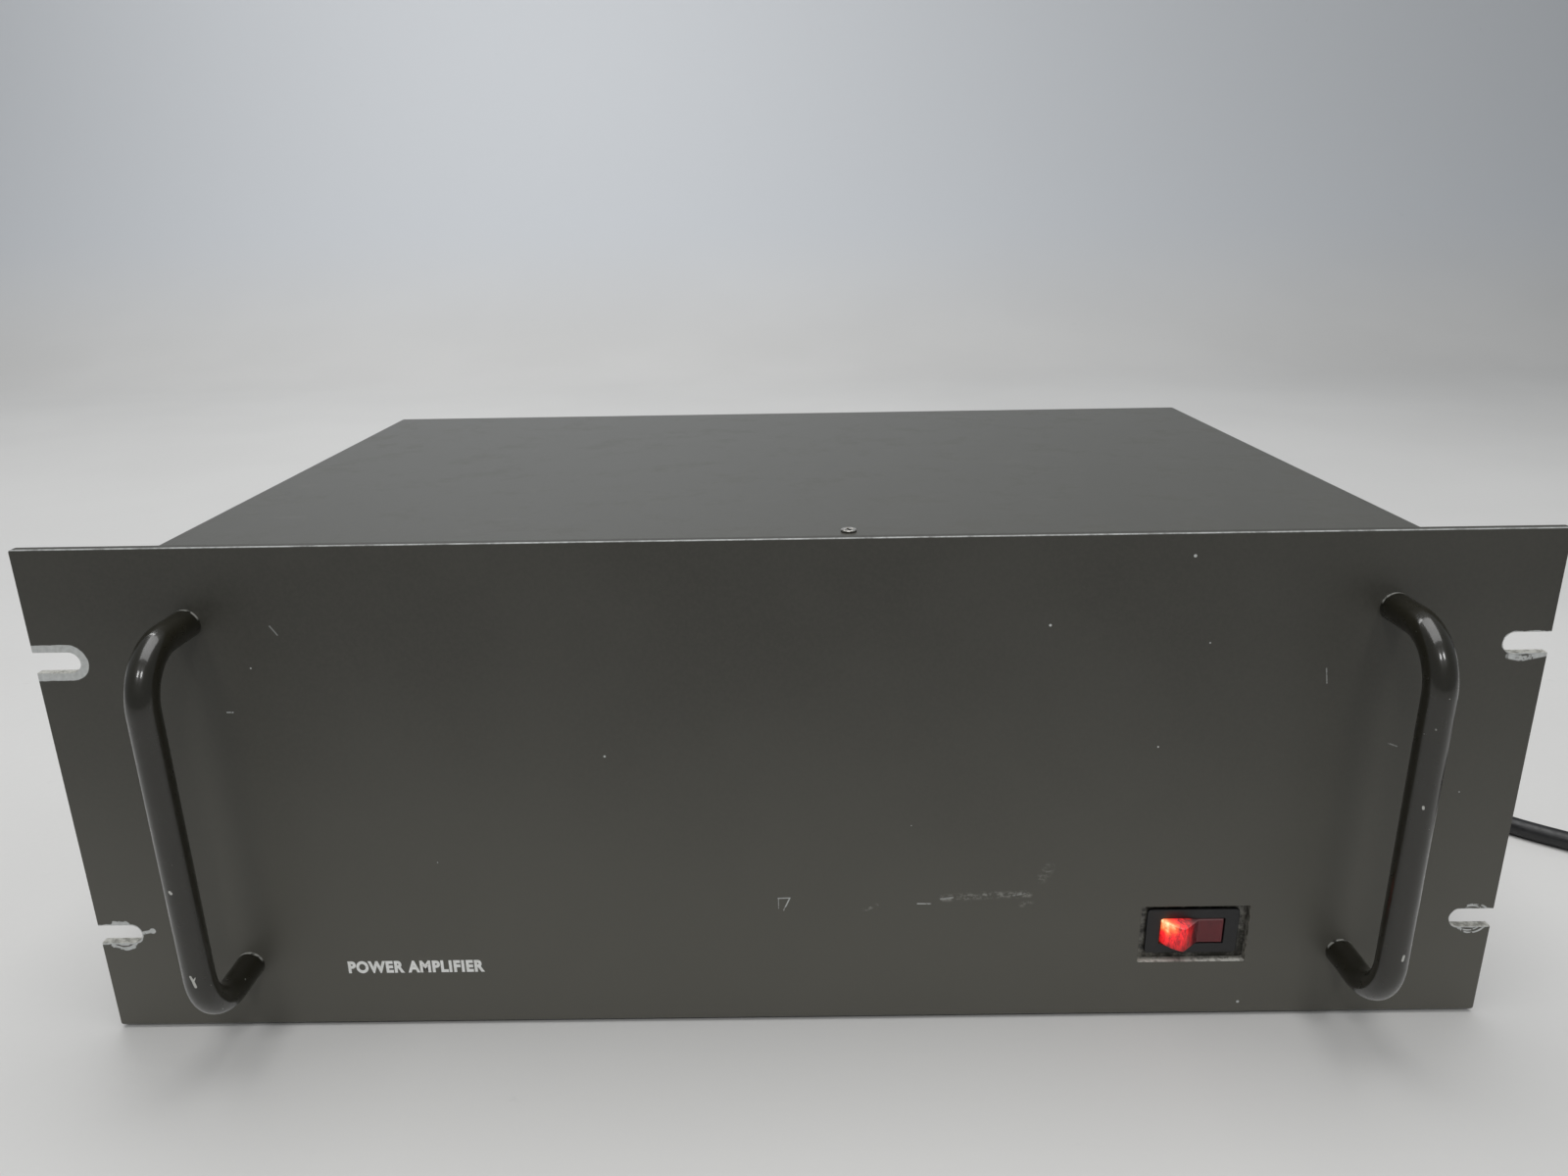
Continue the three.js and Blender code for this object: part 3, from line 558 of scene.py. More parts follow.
def coil_points():
    """Three turns inward on the table, a step up, and the rest outward on top of them."""
    points = []
    steps = round(COIL_TURNS * POINTS_PER_TURN)
    inner = COIL_OUTER - COIL_INWARD * COIL_PITCH
    for i in range(steps + 1):
        t = COIL_TURNS * i / steps
        if t < COIL_INWARD:
            radius, height = COIL_OUTER - COIL_PITCH * t, 0
        elif t < COIL_INWARD + COIL_CLIMB:
            k = (t - COIL_INWARD) / COIL_CLIMB
            radius, height = inner + k * COIL_PITCH / 2, COIL_LIFT * k * k * (3 - 2 * k)
        else:
            beyond = t - COIL_INWARD - COIL_CLIMB
            radius, height = inner + COIL_PITCH * (0.5 + beyond), COIL_LIFT
        angle = math.radians(COIL_START + 360 * t)
        x = COIL_X + radius * math.cos(angle)
        y = COIL_Y + radius * math.sin(angle)
        points.append((x, y, ON_TABLE + height))
    return points


def smooth_path(points, step=3.0):
    """A Catmull-Rom curve through the points, with a point about every step millimetres."""
    points = [Vector(p) for p in points]
    padded = [2 * points[0] - points[1], *points, 2 * points[-1] - points[-2]]
    path = []
    for a, b, c, d in zip(padded, padded[1:], padded[2:], padded[3:]):
        pieces = max(1, round((c - b).length / step))
        for i in range(pieces):
            t = i / pieces
            square, cube = 2 * a - 5 * b + 4 * c - d, 3 * b - a - 3 * c + d
            path.append((2 * b + (c - a) * t + square * t**2 + cube * t**3) / 2)
    path.append(points[-1])
    return path


CORD_PATH = smooth_path(ROUTE + coil_points() + TAIL)


def make_strain_relief():
    """A collar on the rear panel and a ribbed tapering sleeve behind it."""
    inner_end = span("strain_relief")[0].y
    profile = [(0, inner_end), (7.6, inner_end), (7.6, CASE_BACK + 0.3)]
    profile += [(10.5, CASE_BACK + 0.3), (10.5, CASE_BACK + 3.3), (8.4, CASE_BACK + 3.8)]
    ribs = 6
    start, end = CASE_BACK + 4.4, RELIEF_END - 1.5
    pitch = (end - start) / ribs
    for i in range(ribs):
        y = start + (end - start) * i / ribs
        outer = 8.2 - 2.9 * i / ribs
        profile += [(outer, y), (outer - 0.4, y + pitch * 0.62)]
        profile += [(outer - 1.5, y + pitch * 0.68), (outer - 1.5, y + pitch * 0.94)]
    profile += [(5.2, end), (4.9, RELIEF_END), (4.0, RELIEF_END), (4.0, RELIEF_END - 0.8)]
    profile += [(0, RELIEF_END - 0.8)]
    mesh = lathe(profile, 40, soften=0.35)
    x, _, z = middle("strain_relief")
    moved(mesh, BACKWARD, shift(x, 0, z))
    return finished("strain_relief_sleeve", mesh, "cord", "strain_relief")


PLUG_START = (386, 51.7, 12.3)
PLUG_STATIONS = [  # (distance along the plug, width, height, corner radius)
    (14.0, 17.0, 16.0, 6.5),
    (16.0, 21.5, 20.5, 7.0),
    (19.0, 24.2, 23.4, 6.5),
    (23.0, 24.6, 23.8, 6.0),
    (28.0, 23.0, 23.6, 5.5),
    (34.0, 21.8, 23.4, 5.0),
    (40.0, 22.8, 23.6, 5.0),
    (44.0, 24.6, 23.9, 5.0),
    (48.0, 24.9, 23.9, 5.0),
    (49.4, 24.6, 23.6, 5.0),
    (49.9, 23.6, 22.6, 5.0),
]
BLADE_ROOT = 49.5  # just inside the plug's flat end
BLADE_TIP = 67
BLADE_HALF = 3.1
BLADE_THICK = 1.5
BLADE_Y = 6.35


def plug_section(x, width, height, radius):
    """A rounded outline across the plug, at x along it."""
    return [(x, u, v) for u, v in rectangle(0, 0, width, height, radius, 6)]


def lofted(sections):
    """A closed skin through outlines that have the same number of points."""
    bm = bmesh.new()
    rings = [[bm.verts.new(p) for p in section] for section in sections]
    for lower, upper in zip(rings, rings[1:]):
        bridge(bm, lower, upper)
    bm.faces.new(rings[0])
    bm.faces.new(rings[-1])
    return mesh_of(bm)


def plug_body():
    """Neck with ribs, then a body that swells, dips where fingers hold it, and ends flat."""
    sections = []
    for i in range(5):
        x = 0.5 + i * 2.6
        size = 10.4 + i * 1.1
        ridge = (size, size, size / 2 - 0.2)
        groove = (size - 1.6, size - 1.6, size / 2 - 1.0)
        for step, shape in ((0, ridge), (1.3, ridge), (1.6, groove), (2.3, groove)):
            sections.append(plug_section(x + step, *shape))
    sections += [plug_section(*station) for station in PLUG_STATIONS]
    return lofted(sections)


def plug_blade(y):
    """A flat blade with a hole near its end and a blunt tip."""
    lower = [(BLADE_ROOT, -BLADE_HALF), (BLADE_TIP - 1, -BLADE_HALF), (BLADE_TIP, 1 - BLADE_HALF)]
    upper = [(x, -y) for x, y in reversed(lower)]
    mesh = plate(lower + upper, [circle(62.5, 0, 1.4, 16)], BLADE_THICK, 0.15)
    return moved(mesh, turn(90, "X"), shift(0, y + BLADE_THICK / 2, 4))


def plug_pins():
    ground = lathe([(0, BLADE_ROOT), (2.4, BLADE_ROOT), (2.4, 66.5), (1.7, 68.6), (0, 69)], 24)
    moved(ground, turn(90, "Y"), shift(0, 0, -7.9))
    return joined(plug_blade(-BLADE_Y), plug_blade(BLADE_Y), ground)


def make_plug():
    place = (turn(-90, "Z"), shift(*PLUG_START))
    body = finished("plug_body", moved(plug_body(), *place), "cord", "mains_plug")
    pins = finished("plug_pins", moved(plug_pins(), *place), "nickel")
    return body, pins


TIE_ANGLE = 20
TIE_CORNERS = [  # (distance from the coil's middle, height, roundness), in the plane at that angle
    (32.2, 0.4, 1.6),
    (32.2, 12.6, 2.4),
    (35.6, 15.5, 2.4),
    (47.6, 15.5, 3.0),
    (57.4, 7.2, 3.0),
    (57.4, 0.4, 1.6),
]


def make_tie():
    """A flat strap round the coil, drawn tight over its upper turns."""
    corners = [Vector((u, 0, w)) for u, w, _ in TIE_CORNERS]
    path = []
    for i, (_, _, roundness) in enumerate(TIE_CORNERS):
        after = corners[(i + 1) % len(corners)]
        path += corner_curve(corners[i - 1], corners[i], after, roundness / 2, 3)
    strap = rectangle(0, 0, 7, 0.7, 0.3, 3)
    mesh = tube(path, strap, closed=True, up=(0, 1, 0))
    moved(mesh, turn(TIE_ANGLE, "Z"), shift(COIL_X, COIL_Y, 0))
    return finished("cord_tie", mesh, "cord")


# ---------- Materials ----------
HANDLE_BAR = 4.76
HANDLE_REACH = 30.2
HANDLE_BEND = 17.5
HANDLE_LEGS = (26.5, 153.5)
WINDOW = (139.1, 33.9, 37.4, 22.3)  # the switch's: middle x and z, width, height
PANEL_BACK = 3.2


def paint_texture(shader, grain, waves):
    """The fine grain and slow waviness of sprayed enamel."""
    shader.bump(shader.noise(0.35, 3), grain)
    shader.bump(shader.noise(2.2, 2), waves)


def ragged(shader, distance, reach, wander, size=4.0):
    """A mask within reach of something, its edge wandering by about wander millimetres."""
    shake = shader.times(shader.noise(size, 3, 0.6), 2 * wander)
    edge = shader.math("ADD", distance, shake)
    return shader.fall(edge, reach + wander, reach + wander + 0.25)


def near_stroke(shader, start, end):
    """Distance in millimetres to a line between two (x, z) places on the panel's face."""
    return shader.near_line(at(start[0], 0, start[1]), at(end[0], 0, end[1]))


def near_point(shader, x, z):
    return near_stroke(shader, (x - 0.01, z), (x + 0.01, z))


def slot_wear(shader, side, z, reach, wander):
    """Paint rubbed off in an even rim around a rack slot."""
    core = side * (PANEL_HALF - SLOT_REACH + SLOT_RADIUS)
    distance = near_stroke(shader, (core, z), (side * PANEL_HALF, z))
    return ragged(shader, distance, SLOT_RADIUS + reach, wander)


def washer_wear(shader, x, z, radius, wander):
    """Bare metal where a washer bit, with a crescent of paint left inside it."""
    distance = near_point(shader, x, z)
    disc = ragged(shader, distance, radius, wander, 2.6)
    shake = shader.times(shader.noise(3.0, 2), 1.4)
    ring_edge = shader.math("ABSOLUTE", shader.math("SUBTRACT", distance, radius - 1.5))
    paint = shader.ramp(shader.math("ADD", ring_edge, shake), 0.85, 1.1, 0.0, 1.0)
    below = shader.ramp(shader.axis(2), (z - 2.5) * MM, (z - 1.5) * MM)
    return shader.times(disc, shader.math("MAXIMUM", paint, below))


def washer_ring(shader, x, z, radius, width):
    """The broken line that a washer's rim cut."""
    off = shader.math("ABSOLUTE", shader.math("SUBTRACT", near_point(shader, x, z), radius))
    line = shader.fall(off, width * 0.5, width * 0.5 + 0.15)
    return shader.times(line, shader.ramp(shader.noise(3.4, 3, 0.6), 0.42, 0.5))


def scratch(shader, start, end, width, strength):
    """A fine line of bare metal that breaks up along its length."""
    distance = near_stroke(shader, start, end)
    line = shader.ramp(distance, width * 0.5, width, strength, 0.0)
    return shader.times(line, shader.ramp(shader.noise(1.1, 3, 0.6), 0.3, 0.47))


def wisp(shader, start, end, reach, strength):
    """A rubbed patch of pale dust, thin and broken."""
    distance = near_stroke(shader, start, end)
    near = shader.ramp(distance, 0.1, reach, strength, 0.0)
    threads = shader.ramp(shader.noise(1.5, 4, 0.7, stretch=(0.6, 1, 1)), 0.45, 0.62)
    return shader.times(near, threads)


def speck(shader, x, z, radius):
    return shader.fall(near_point(shader, x, z), radius * 0.7, radius)


PANEL_HALF = 241.3
SLOT_LEVELS = (39.2, 140.8)
SLOT_REACH = 14.7
SLOT_RADIUS = 3.5
SLOT_WEAR = [  # (side, height, how far round the slot the paint is gone, how ragged its edge is)
    (-1, SLOT_LEVELS[0], 0.4, 0.8),
    (-1, SLOT_LEVELS[1], 2.5, 0.3),
    (1, SLOT_LEVELS[0], 0.2, 0.6),
    (1, SLOT_LEVELS[1], 0.3, 0.7),
]
WASHER = (-233.4, 38.6, 5.8, 1.5)  # (x, z, radius, how ragged its edge is)
WASHER_RINGS = [(234.6, 39.0, 5.7, 0.5), (233.8, 39.2, 4.9, 0.35)]  # (x, z, radius, width)
SPECKS = [  # (x, z, radius)
    (-61.0, 105.2, 0.45),
    (82.8, 148.9, 0.5),
    (126.3, 171.1, 0.6),
    (120.5, 106.0, 0.35),
    (157.4, 5.7, 0.6),
    (133.8, 142.2, 0.3),
    (-172.3, 138.1, 0.3),
    (40.3, 78.0, 0.2),
    (-120.4, 66.2, 0.2),
    (-203.8, 98.4, 0.25),
    (221.7, 88.0, 0.25),
    (-222.6, 40.4, 1.25),
]
SCRATCHES = [  # (start, end, width, strength)
    ((-4.9, 50.4), (-0.9, 50.5), 0.26, 0.8),
    ((-0.9, 50.5), (-3.0, 45.7), 0.28, 0.9),
    ((-4.8, 50.4), (-4.8, 46.4), 0.2, 0.5),
    ((-227.6, 39.3), (-223.0, 40.3), 0.8, 1.0),
    ((229.2, 136.3), (232.6, 135.6), 1.3, 1.0),
    ((233.8, 135.4), (240.6, 136.8), 1.1, 1.0),
    ((-182.5, 122.8), (-180.6, 122.8), 0.28, 0.9),
    ((-164.0, 152.3), (-162.0, 149.3), 0.3, 0.35),
    ((171.8, 132.9), (172.6, 127.8), 0.3, 0.35),
    ((195.5, 106.2), (198.5, 105.0), 0.3, 0.3),
    ((43.0, 47.6), (47.6, 47.5), 0.28, 0.85),
    ((51.0, 49.3), (55.0, 49.9), 0.42, 0.4),
    ((75.8, 50.4), (79.6, 51.1), 0.42, 0.3),
]
WISPS = [  # (start, end, reach, strength)
    ((24.5, 45.2), (29.0, 47.2), 1.0, 0.35),
    ((52.0, 49.6), (66.0, 50.6), 2.0, 0.55),
    ((64.0, 50.6), (81.0, 50.8), 1.9, 0.5),
    ((85.2, 57.0), (87.6, 61.0), 2.6, 0.35),
    ((79.0, 46.6), (82.0, 48.0), 1.6, 0.25),
]


def panel_wear(shader):
    """Where the panel's paint is gone: slots, washers, specks and scratches."""
    masks = [slot_wear(shader, *wear) for wear in SLOT_WEAR]
    masks.append(washer_wear(shader, *WASHER))
    masks += [speck(shader, *place) for place in SPECKS]
    masks += [washer_ring(shader, *ring) for ring in WASHER_RINGS]
    masks += [scratch(shader, *line) for line in SCRATCHES]
    return shader.any_of(masks)


def worn_top_edge(shader):
    """The panel's top front edge, rubbed to a thin pale line."""
    top = shader.ramp(shader.axis(2), 0.1781, 0.1783)
    front = shader.fall(shader.axis(1), FRONT + 0.0003, FRONT + 0.0006)
    rubbed = shader.ramp(shader.noise(6, 4, 0.7), 0.3, 0.6, 0.35, 0.85)
    return shader.times(shader.times(top, front), rubbed)


def panel_paint():
    shader = Shader("panel_enamel", IOR=1.5)
    bare = shader.math("MAXIMUM", panel_wear(shader), worn_top_edge(shader))
    dusty = shader.any_of(wisp(shader, *patch) for patch in WISPS)
    cloud = shader.ramp(shader.noise(60, 3), 0.3, 0.7)
    fine = shader.noise(1.1, 4, 0.65)
    colour = shader.mix(cloud, tone(56, 55, 49), tone(62, 61, 55))
    colour = shader.mix(shader.ramp(fine, 0.3, 0.75, 0.0, 0.35), colour, tone(76, 74, 67))
    # Painted light: the paint turns paler towards the bottom, standing in for light bounced up from
    # the table.
    painted_bounce_light = shader.ramp(shader.axis(2), -0.01, 0.17, 0.7, 0.0)
    colour = shader.mix(painted_bounce_light, colour, tone(98, 96, 88))
    colour = shader.mix(dusty, colour, tone(170, 169, 162))
    metal = shader.mix(shader.noise(1.5, 3), tone(168, 170, 168), tone(222, 224, 222))
    shader.color(bare, colour, metal)
    shader.metallic(shader.times(bare, 0.25))
    shader.roughness(shader.ramp(fine, 0.2, 0.8, 0.42, 0.55))
    paint_texture(shader, 0.03, 0.015)
    shader.bump(bare, -0.06)
    return shader.material


def cut_edge():
    """The panel's cut edges: bright bare metal in the rack slots; round the switch, painted shade
    with pale dust mottles, but for the front of its sill.
    """
    shader = Shader("panel_cut_edge", Metallic=0.15)
    patches = shader.ramp(shader.noise(2.2, 4, 0.7), 0.36, 0.6)
    bright = shader.mix(patches, tone(150, 148, 140), tone(214, 213, 205))
    # Painted shade: the walls of the switch window are dark, with pale dust mottles.
    wall_shade_and_dust = shader.mix(patches, tone(58, 57, 51), tone(140, 138, 129))
    sill = shader.fall(shader.axis(2), 0.0229, 0.0233)
    # Painted shade: the sill darkens deeper into the window.
    front = shader.ramp(shader.axis(1), FRONT + 0.0012, FRONT + 0.0018, 1.0, 0.25)
    by_slots = shader.ramp(shader.math("ABSOLUTE", shader.axis(0)), 0.2, 0.21)
    unshaded = shader.math("MAXIMUM", by_slots, shader.times(sill, front))
    shader.color(unshaded, wall_shade_and_dust, bright)
    shader.uneven_roughness(0.8, 3, 0.45, 0.7)
    shader.bump(shader.noise(0.5, 3, stretch=(1, 6, 1)), 0.08)
    return shader.material


HANDLE_CHIPS = [  # (start, end, width)
    ((-190.4, -35, 47.6), (-189.8, -35, 45.6), 0.42),
    ((-188.8, -35, 47.3), (-189.8, -35, 45.8), 0.36),
    ((-189.8, -35, 45.6), (-189.4, -35, 43.6), 0.5),
    ((-191.2, -35, 78.4), (-190.9, -35, 78.0), 0.6),
    ((188.2, -35, 127.9), (188.4, -35, 127.4), 0.6),
    ((188.9, -34.6, 102.2), (189.0, -34.6, 101.6), 0.42),
    ((191.2, -35, 49.8), (191.0, -35, 48.2), 0.5),
]


def handle_root_wear(shader):
    """Paint chipped off the bars' ends where they meet the panel, mostly on top."""
    at_root = shader.ramp(shader.axis(1), FRONT - 0.0011, FRONT - 0.0007)
    upper = [shader.ramp(shader.axis(2), (z + 1.0) * MM, (z + 2.6) * MM) for z in HANDLE_LEGS]
    lower_only = shader.fall(shader.axis(2), 0.05, 0.06)
    on_top = shader.math("MAXIMUM", upper[1], shader.times(upper[0], lower_only))
    broken = shader.ramp(shader.noise(3.2, 3, 0.6), 0.38, 0.5)
    return shader.times(shader.times(at_root, on_top), broken)


def handle_paint():
    shader = Shader("handle_enamel", IOR=1.38, Coat_Weight=0.8, Coat_Roughness=0.1)
    chips = shader.any_of(
        shader.fall(shader.near_line(at(*start), at(*end)), width * 0.7, width)
        for start, end, width in HANDLE_CHIPS
    )
    specks = shader.ramp(shader.noise(1.3, 2, 0.5), 0.775, 0.79)
    chips = shader.any_of([chips, specks, handle_root_wear(shader)])
    cloud = shader.noise(14, 3)
    colour = shader.mix(cloud, tone(25, 23, 15), tone(33, 31, 22))
    shader.color(chips, colour, tone(186, 186, 180))
    shader.metallic(shader.times(chips, 0.3))
    shader.uneven_roughness(3, 3, 0.27, 0.36)
    paint_texture(shader, 0.01, 0.02)
    shader.bump(chips, -0.05)
    return shader.material


def case_paint():
    shader = Shader("case_enamel", IOR=1.5)
    dust = shader.ramp(shader.noise(18, 5, 0.7), 0.45, 0.75)
    fine = shader.noise(0.9, 4, 0.65)
    grain = shader.ramp(fine, 0.3, 0.75, 0.0, 0.3)
    colour = shader.mix(grain, tone(70, 69, 63), tone(81, 80, 73))
    streaks = shader.ramp(shader.noise(7, 4, 0.7, stretch=(0.35, 1, 1)), 0.6, 0.74)
    colour = shader.mix(shader.times(dust, 0.1), colour, tone(110, 108, 100))
    shader.color(shader.times(streaks, 0.07), colour, tone(150, 148, 140))
    shader.roughness(shader.ramp(dust, 0.0, 1.0, 0.38, 0.43))
    paint_texture(shader, 0.025, 0.015)
    return shader.material


def zinc():
    """Zinc-plated sheet with dust; behind the switch window it is painted dark with pale mottles, as
    shade in the recess.
    """
    shader = Shader("zinc_plate")
    flakes = shader.node("TexVoronoi", {"Scale": 1 / (9 * MM), "Vector": shader.place})
    colour = shader.mix(flakes.outputs["Distance"], tone(176, 178, 176), tone(206, 207, 203))
    dust = shader.ramp(shader.noise(30, 4, 0.6), 0.45, 0.75, 0.0, 0.5)
    colour = shader.mix(dust, colour, tone(150, 147, 138))
    # Painted shade: the sheet is dark and less metallic near the switch window, with pale dust
    # mottles.
    window = at(WINDOW[0], PANEL_BACK, WINDOW[1])
    near_window = shader.vector("DISTANCE", shader.place, tuple(window))
    recess_shade = shader.fall(near_window, 0.024, 0.028)
    mottle = shader.ramp(shader.noise(4.5, 4, 0.75), 0.42, 0.7)
    grime_and_shade = shader.mix(mottle, tone(44, 43, 38), tone(128, 126, 118))
    shader.color(recess_shade, colour, grime_and_shade)
    shader.metallic(shader.math("SUBTRACT", 0.9, shader.times(recess_shade, 0.85)))
    shader.uneven_roughness(7, 3, 0.28, 0.45)
    shader.bump(shader.noise(0.8, 3, stretch=(1, 8, 1)), 0.01)
    return shader.material


def screw_steel():
    shader = Shader("screw_steel", Metallic=1.0)
    grime_and_shade = shader.ramp(shader.noise(1.4, 3), 0.4, 0.65)
    shader.color(grime_and_shade, tone(200, 198, 192), tone(140, 136, 128))
    shader.uneven_roughness(1, 2, 0.28, 0.45)
    shader.bump(shader.noise(0.3, 2), 0.01)
    return shader.material


def rubber(name, colour, rough, grain):
    shader = Shader(name, IOR=1.5)
    dust = shader.ramp(shader.noise(6, 4, 0.65), 0.45, 0.75, 0.0, 0.3)
    shader.color(dust, colour, tuple(3.2 * c + 0.01 for c in colour))
    shader.uneven_roughness(2, 3, rough - 0.07, rough + 0.07)
    shader.bump(shader.noise(grain, 3), 0.02)
    return shader.material


def moulded(name, colour, rough, coat=0.0):
    """Moulded plastic with a fine spark-eroded grain and slight flow marks."""
    shader = Shader(name, IOR=1.49, Coat_Weight=coat, Coat_Roughness=0.12)
    flow = shader.noise(9, 3, stretch=(1, 1, 0.4))
    darker = tuple(0.75 * c for c in colour)
    shader.color(shader.ramp(flow, 0.3, 0.7), darker, colour)
    shader.uneven_roughness(1.6, 3, rough - 0.06, rough + 0.06)
    shader.bump(shader.noise(0.5, 2), 0.012)
    return shader.material


def plated(name, light, dark, rough):
    """Plated metal, with faint rings from turning and spots of tarnish."""
    shader = Shader(name, Metallic=1.0)
    tarnish = shader.ramp(shader.noise(2.5, 4, 0.6), 0.42, 0.68)
    shader.color(tarnish, light, dark)
    shader.uneven_roughness(1.2, 3, rough, rough + 0.15)
    shader.bump(shader.noise(0.25, 2, stretch=(1, 6, 1)), 0.008)
    return shader.material


ROCKER_CENTRE = (139.1, 7.4, 33.9)


def rocker_plastic():
    """Clear red plastic, glowing where the neon lamp sits behind its left half, with a painted
    highlight along its top edge.
    """
    shader = Shader(
        "rocker_red", IOR=1.49, Roughness=0.2, Coat_Weight=0.25, Coat_Roughness=0.08,
        Emission_Strength=1.5,
    )
    x, y, z = ROCKER_CENTRE
    hot = tuple(at(x - 12.2, y - 9.6, z + 5.6))
    near_hot = shader.times(shader.vector("DISTANCE", shader.place, hot), 1 / MM)
    shake = shader.times(shader.noise(2.4, 2, 0.6), 4.0)
    distance = shader.math("ADD", near_hot, shader.math("SUBTRACT", shake, 2.0))
    white = shader.fall(distance, 2.8, 5.4)
    orange = shader.fall(distance, 3.6, 7.4)
    facets = shader.ramp(shader.noise(2.6, 3, 0.6, stretch=(1.8, 1, 0.6)), 0.34, 0.62, 0.12, 1.0)
    red = shader.mix(facets, (0.13, 0.002, 0.006), (0.8, 0.018, 0.02))
    glow = shader.mix(orange, red, (1.0, 0.2, 0.05))
    glow = shader.mix(white, glow, (1.0, 0.78, 0.42))
    left = shader.fall(shader.axis(0), (x - 1.6) * MM, (x + 0.4) * MM)
    fade = shader.ramp(distance, 6.0, 13.5, 1.0, 0.22)
    shader.glow(shader.times(fade, left), (0.0, 0.0, 0.0), glow)
    colour = shader.mix(shader.noise(3, 2), tone(82, 6, 16), tone(106, 14, 25))
    # Painted highlight: a pale pink line along the rocker's top edge.
    painted_top_highlight = shader.ramp(shader.axis(2), (z + 4.25) * MM, (z + 4.45) * MM, 0.0, 0.7)
    shader.color(painted_top_highlight, colour, tone(150, 112, 112))
    shader.bump(shader.noise(1.2, 2), 0.02)
    return shader.material


def lamp_glass():
    shader = Shader(
        "neon_glass", IOR=1.5, Roughness=0.05, Transmission_Weight=0.8, Emission_Strength=2.0
    )
    band = shader.ramp(shader.noise(2, 2), 0.3, 0.7)
    shader.color(band, (1.0, 0.5, 0.25), (1.0, 0.7, 0.5))
    shader.glow(band, (1.0, 0.15, 0.04), (1.0, 0.3, 0.1))
    return shader.material


def laminations():
    """Dark sheets of iron 1 mm apart."""
    shader = Shader("core_laminations", Metallic=0.5)
    sheet = shader.math("PINGPONG", shader.millimetres(1), 0.5)
    dark = shader.mix(shader.noise(9, 4), tone(58, 56, 58), tone(82, 80, 80))
    shader.color(shader.ramp(sheet, 0.0, 0.2, 0.6, 0.0), dark, tone(30, 29, 30))
    shader.uneven_roughness(5, 3, 0.35, 0.55)
    shader.bump(sheet, 0.1)
    return shader.material


def winding():
    """Yellow tape wound round, with a seam every 12 mm."""
    shader = Shader("winding_tape", IOR=1.5, Coat_Weight=0.3, Coat_Roughness=0.2)
    seam = shader.fall(shader.math("PINGPONG", shader.millimetres(2), 6.0), 0.0, 0.5)
    colour = shader.mix(shader.noise(12, 3), tone(176, 140, 58), tone(198, 166, 84))
    shader.color(shader.times(seam, 0.6), colour, tone(120, 88, 34))
    shader.uneven_roughness(4, 3, 0.3, 0.5)
    shader.bump(seam, -0.15)
    shader.bump(shader.noise(3, 3), 0.05)
    return shader.material


def capacitor_sleeve():
    shader = Shader("capacitor_sleeve", IOR=1.5, Coat_Weight=0.5, Coat_Roughness=0.15)
    """A blue sleeve with a pale band 100 mm up, and the can's grey top at 124 mm."""
    z = shader.axis(2)
    top = shader.ramp(z, 0.1236, 0.1242)
    sleeve = shader.mix(shader.noise(25, 3), tone(26, 46, 104), tone(34, 58, 122))
    from_band = shader.math("ABSOLUTE", shader.math("SUBTRACT", z, 0.1))
    band = shader.fall(from_band, 0.004, 0.0044)
    sleeve = shader.mix(shader.times(band, 0.8), sleeve, tone(196, 200, 206))
    shader.color(top, sleeve, tone(70, 68, 66))
    shader.uneven_roughness(4, 2, 0.25, 0.38)
    shader.bump(shader.noise(6, 2), 0.05)
    return shader.material


def anodised():
    """Black anodised metal, drawn upright."""
    shader = Shader("anodised_black", Metallic=0.6)
    lines = shader.noise(0.5, 3, stretch=(6, 6, 0.15))
    shader.color(lines, tone(26, 26, 28), tone(44, 44, 47))
    shader.uneven_roughness(6, 3, 0.35, 0.5)
    shader.bump(lines, 0.03)
    return shader.material


def circuit_board():
    """Green board with paler tracks that wander along it and up it."""
    shader = Shader("solder_mask", IOR=1.5, Coat_Weight=0.3, Coat_Roughness=0.15)
    wave = shader.times(shader.noise(16, 1), 9.0)
    rows = shader.math("PINGPONG", shader.math("ADD", shader.millimetres(2), wave), 2.5)
    columns = shader.math("PINGPONG", shader.math("ADD", shader.millimetres(1), wave), 3.5)
    tracks = shader.fall(shader.math("MINIMUM", rows, columns), 0.7, 0.9)
    colour = shader.mix(tracks, tone(22, 74, 38), tone(44, 112, 62))
    patches = shader.ramp(shader.noise(5, 3), 0.4, 0.8, 0.0, 0.3)
    shader.color(patches, colour, tone(30, 84, 44))
    shader.uneven_roughness(3, 2, 0.3, 0.45)
    shader.bump(tracks, 0.06)
    return shader.material


def label_white():
    shader = Shader("lettering_white", IOR=1.5)
    worn = shader.ramp(shader.noise(1.2, 3), 0.3, 0.7)
    shader.color(worn, tone(232, 232, 228), tone(248, 248, 246))
    shader.roughness(shader.ramp(worn, 0.0, 1.0, 0.45, 0.6))
    return shader.material


def pale_floor():
    """The white table, warmer than the backdrop that rises behind it."""
    shader = Shader("table_top", IOR=1.45)
    cloud = shader.ramp(shader.noise(420, 3), 0.3, 0.7)
    fine = shader.noise(4, 4, 0.7)
    colour = shader.mix(cloud, tone(211, 210, 208), tone(216, 215, 213))
    height = shader.ramp(shader.axis(2), 0.0, 0.3)
    colour = shader.mix(height, colour, tone(209, 212, 216))
    marks = shader.ramp(shader.noise(28, 5, 0.7), 0.66, 0.8, 0.0, 0.14)
    shader.color(marks, colour, tone(150, 150, 146))
    shader.roughness(shader.ramp(fine, 0.3, 0.7, 0.55, 0.7))
    shader.bump(fine, 0.05)
    return shader.material


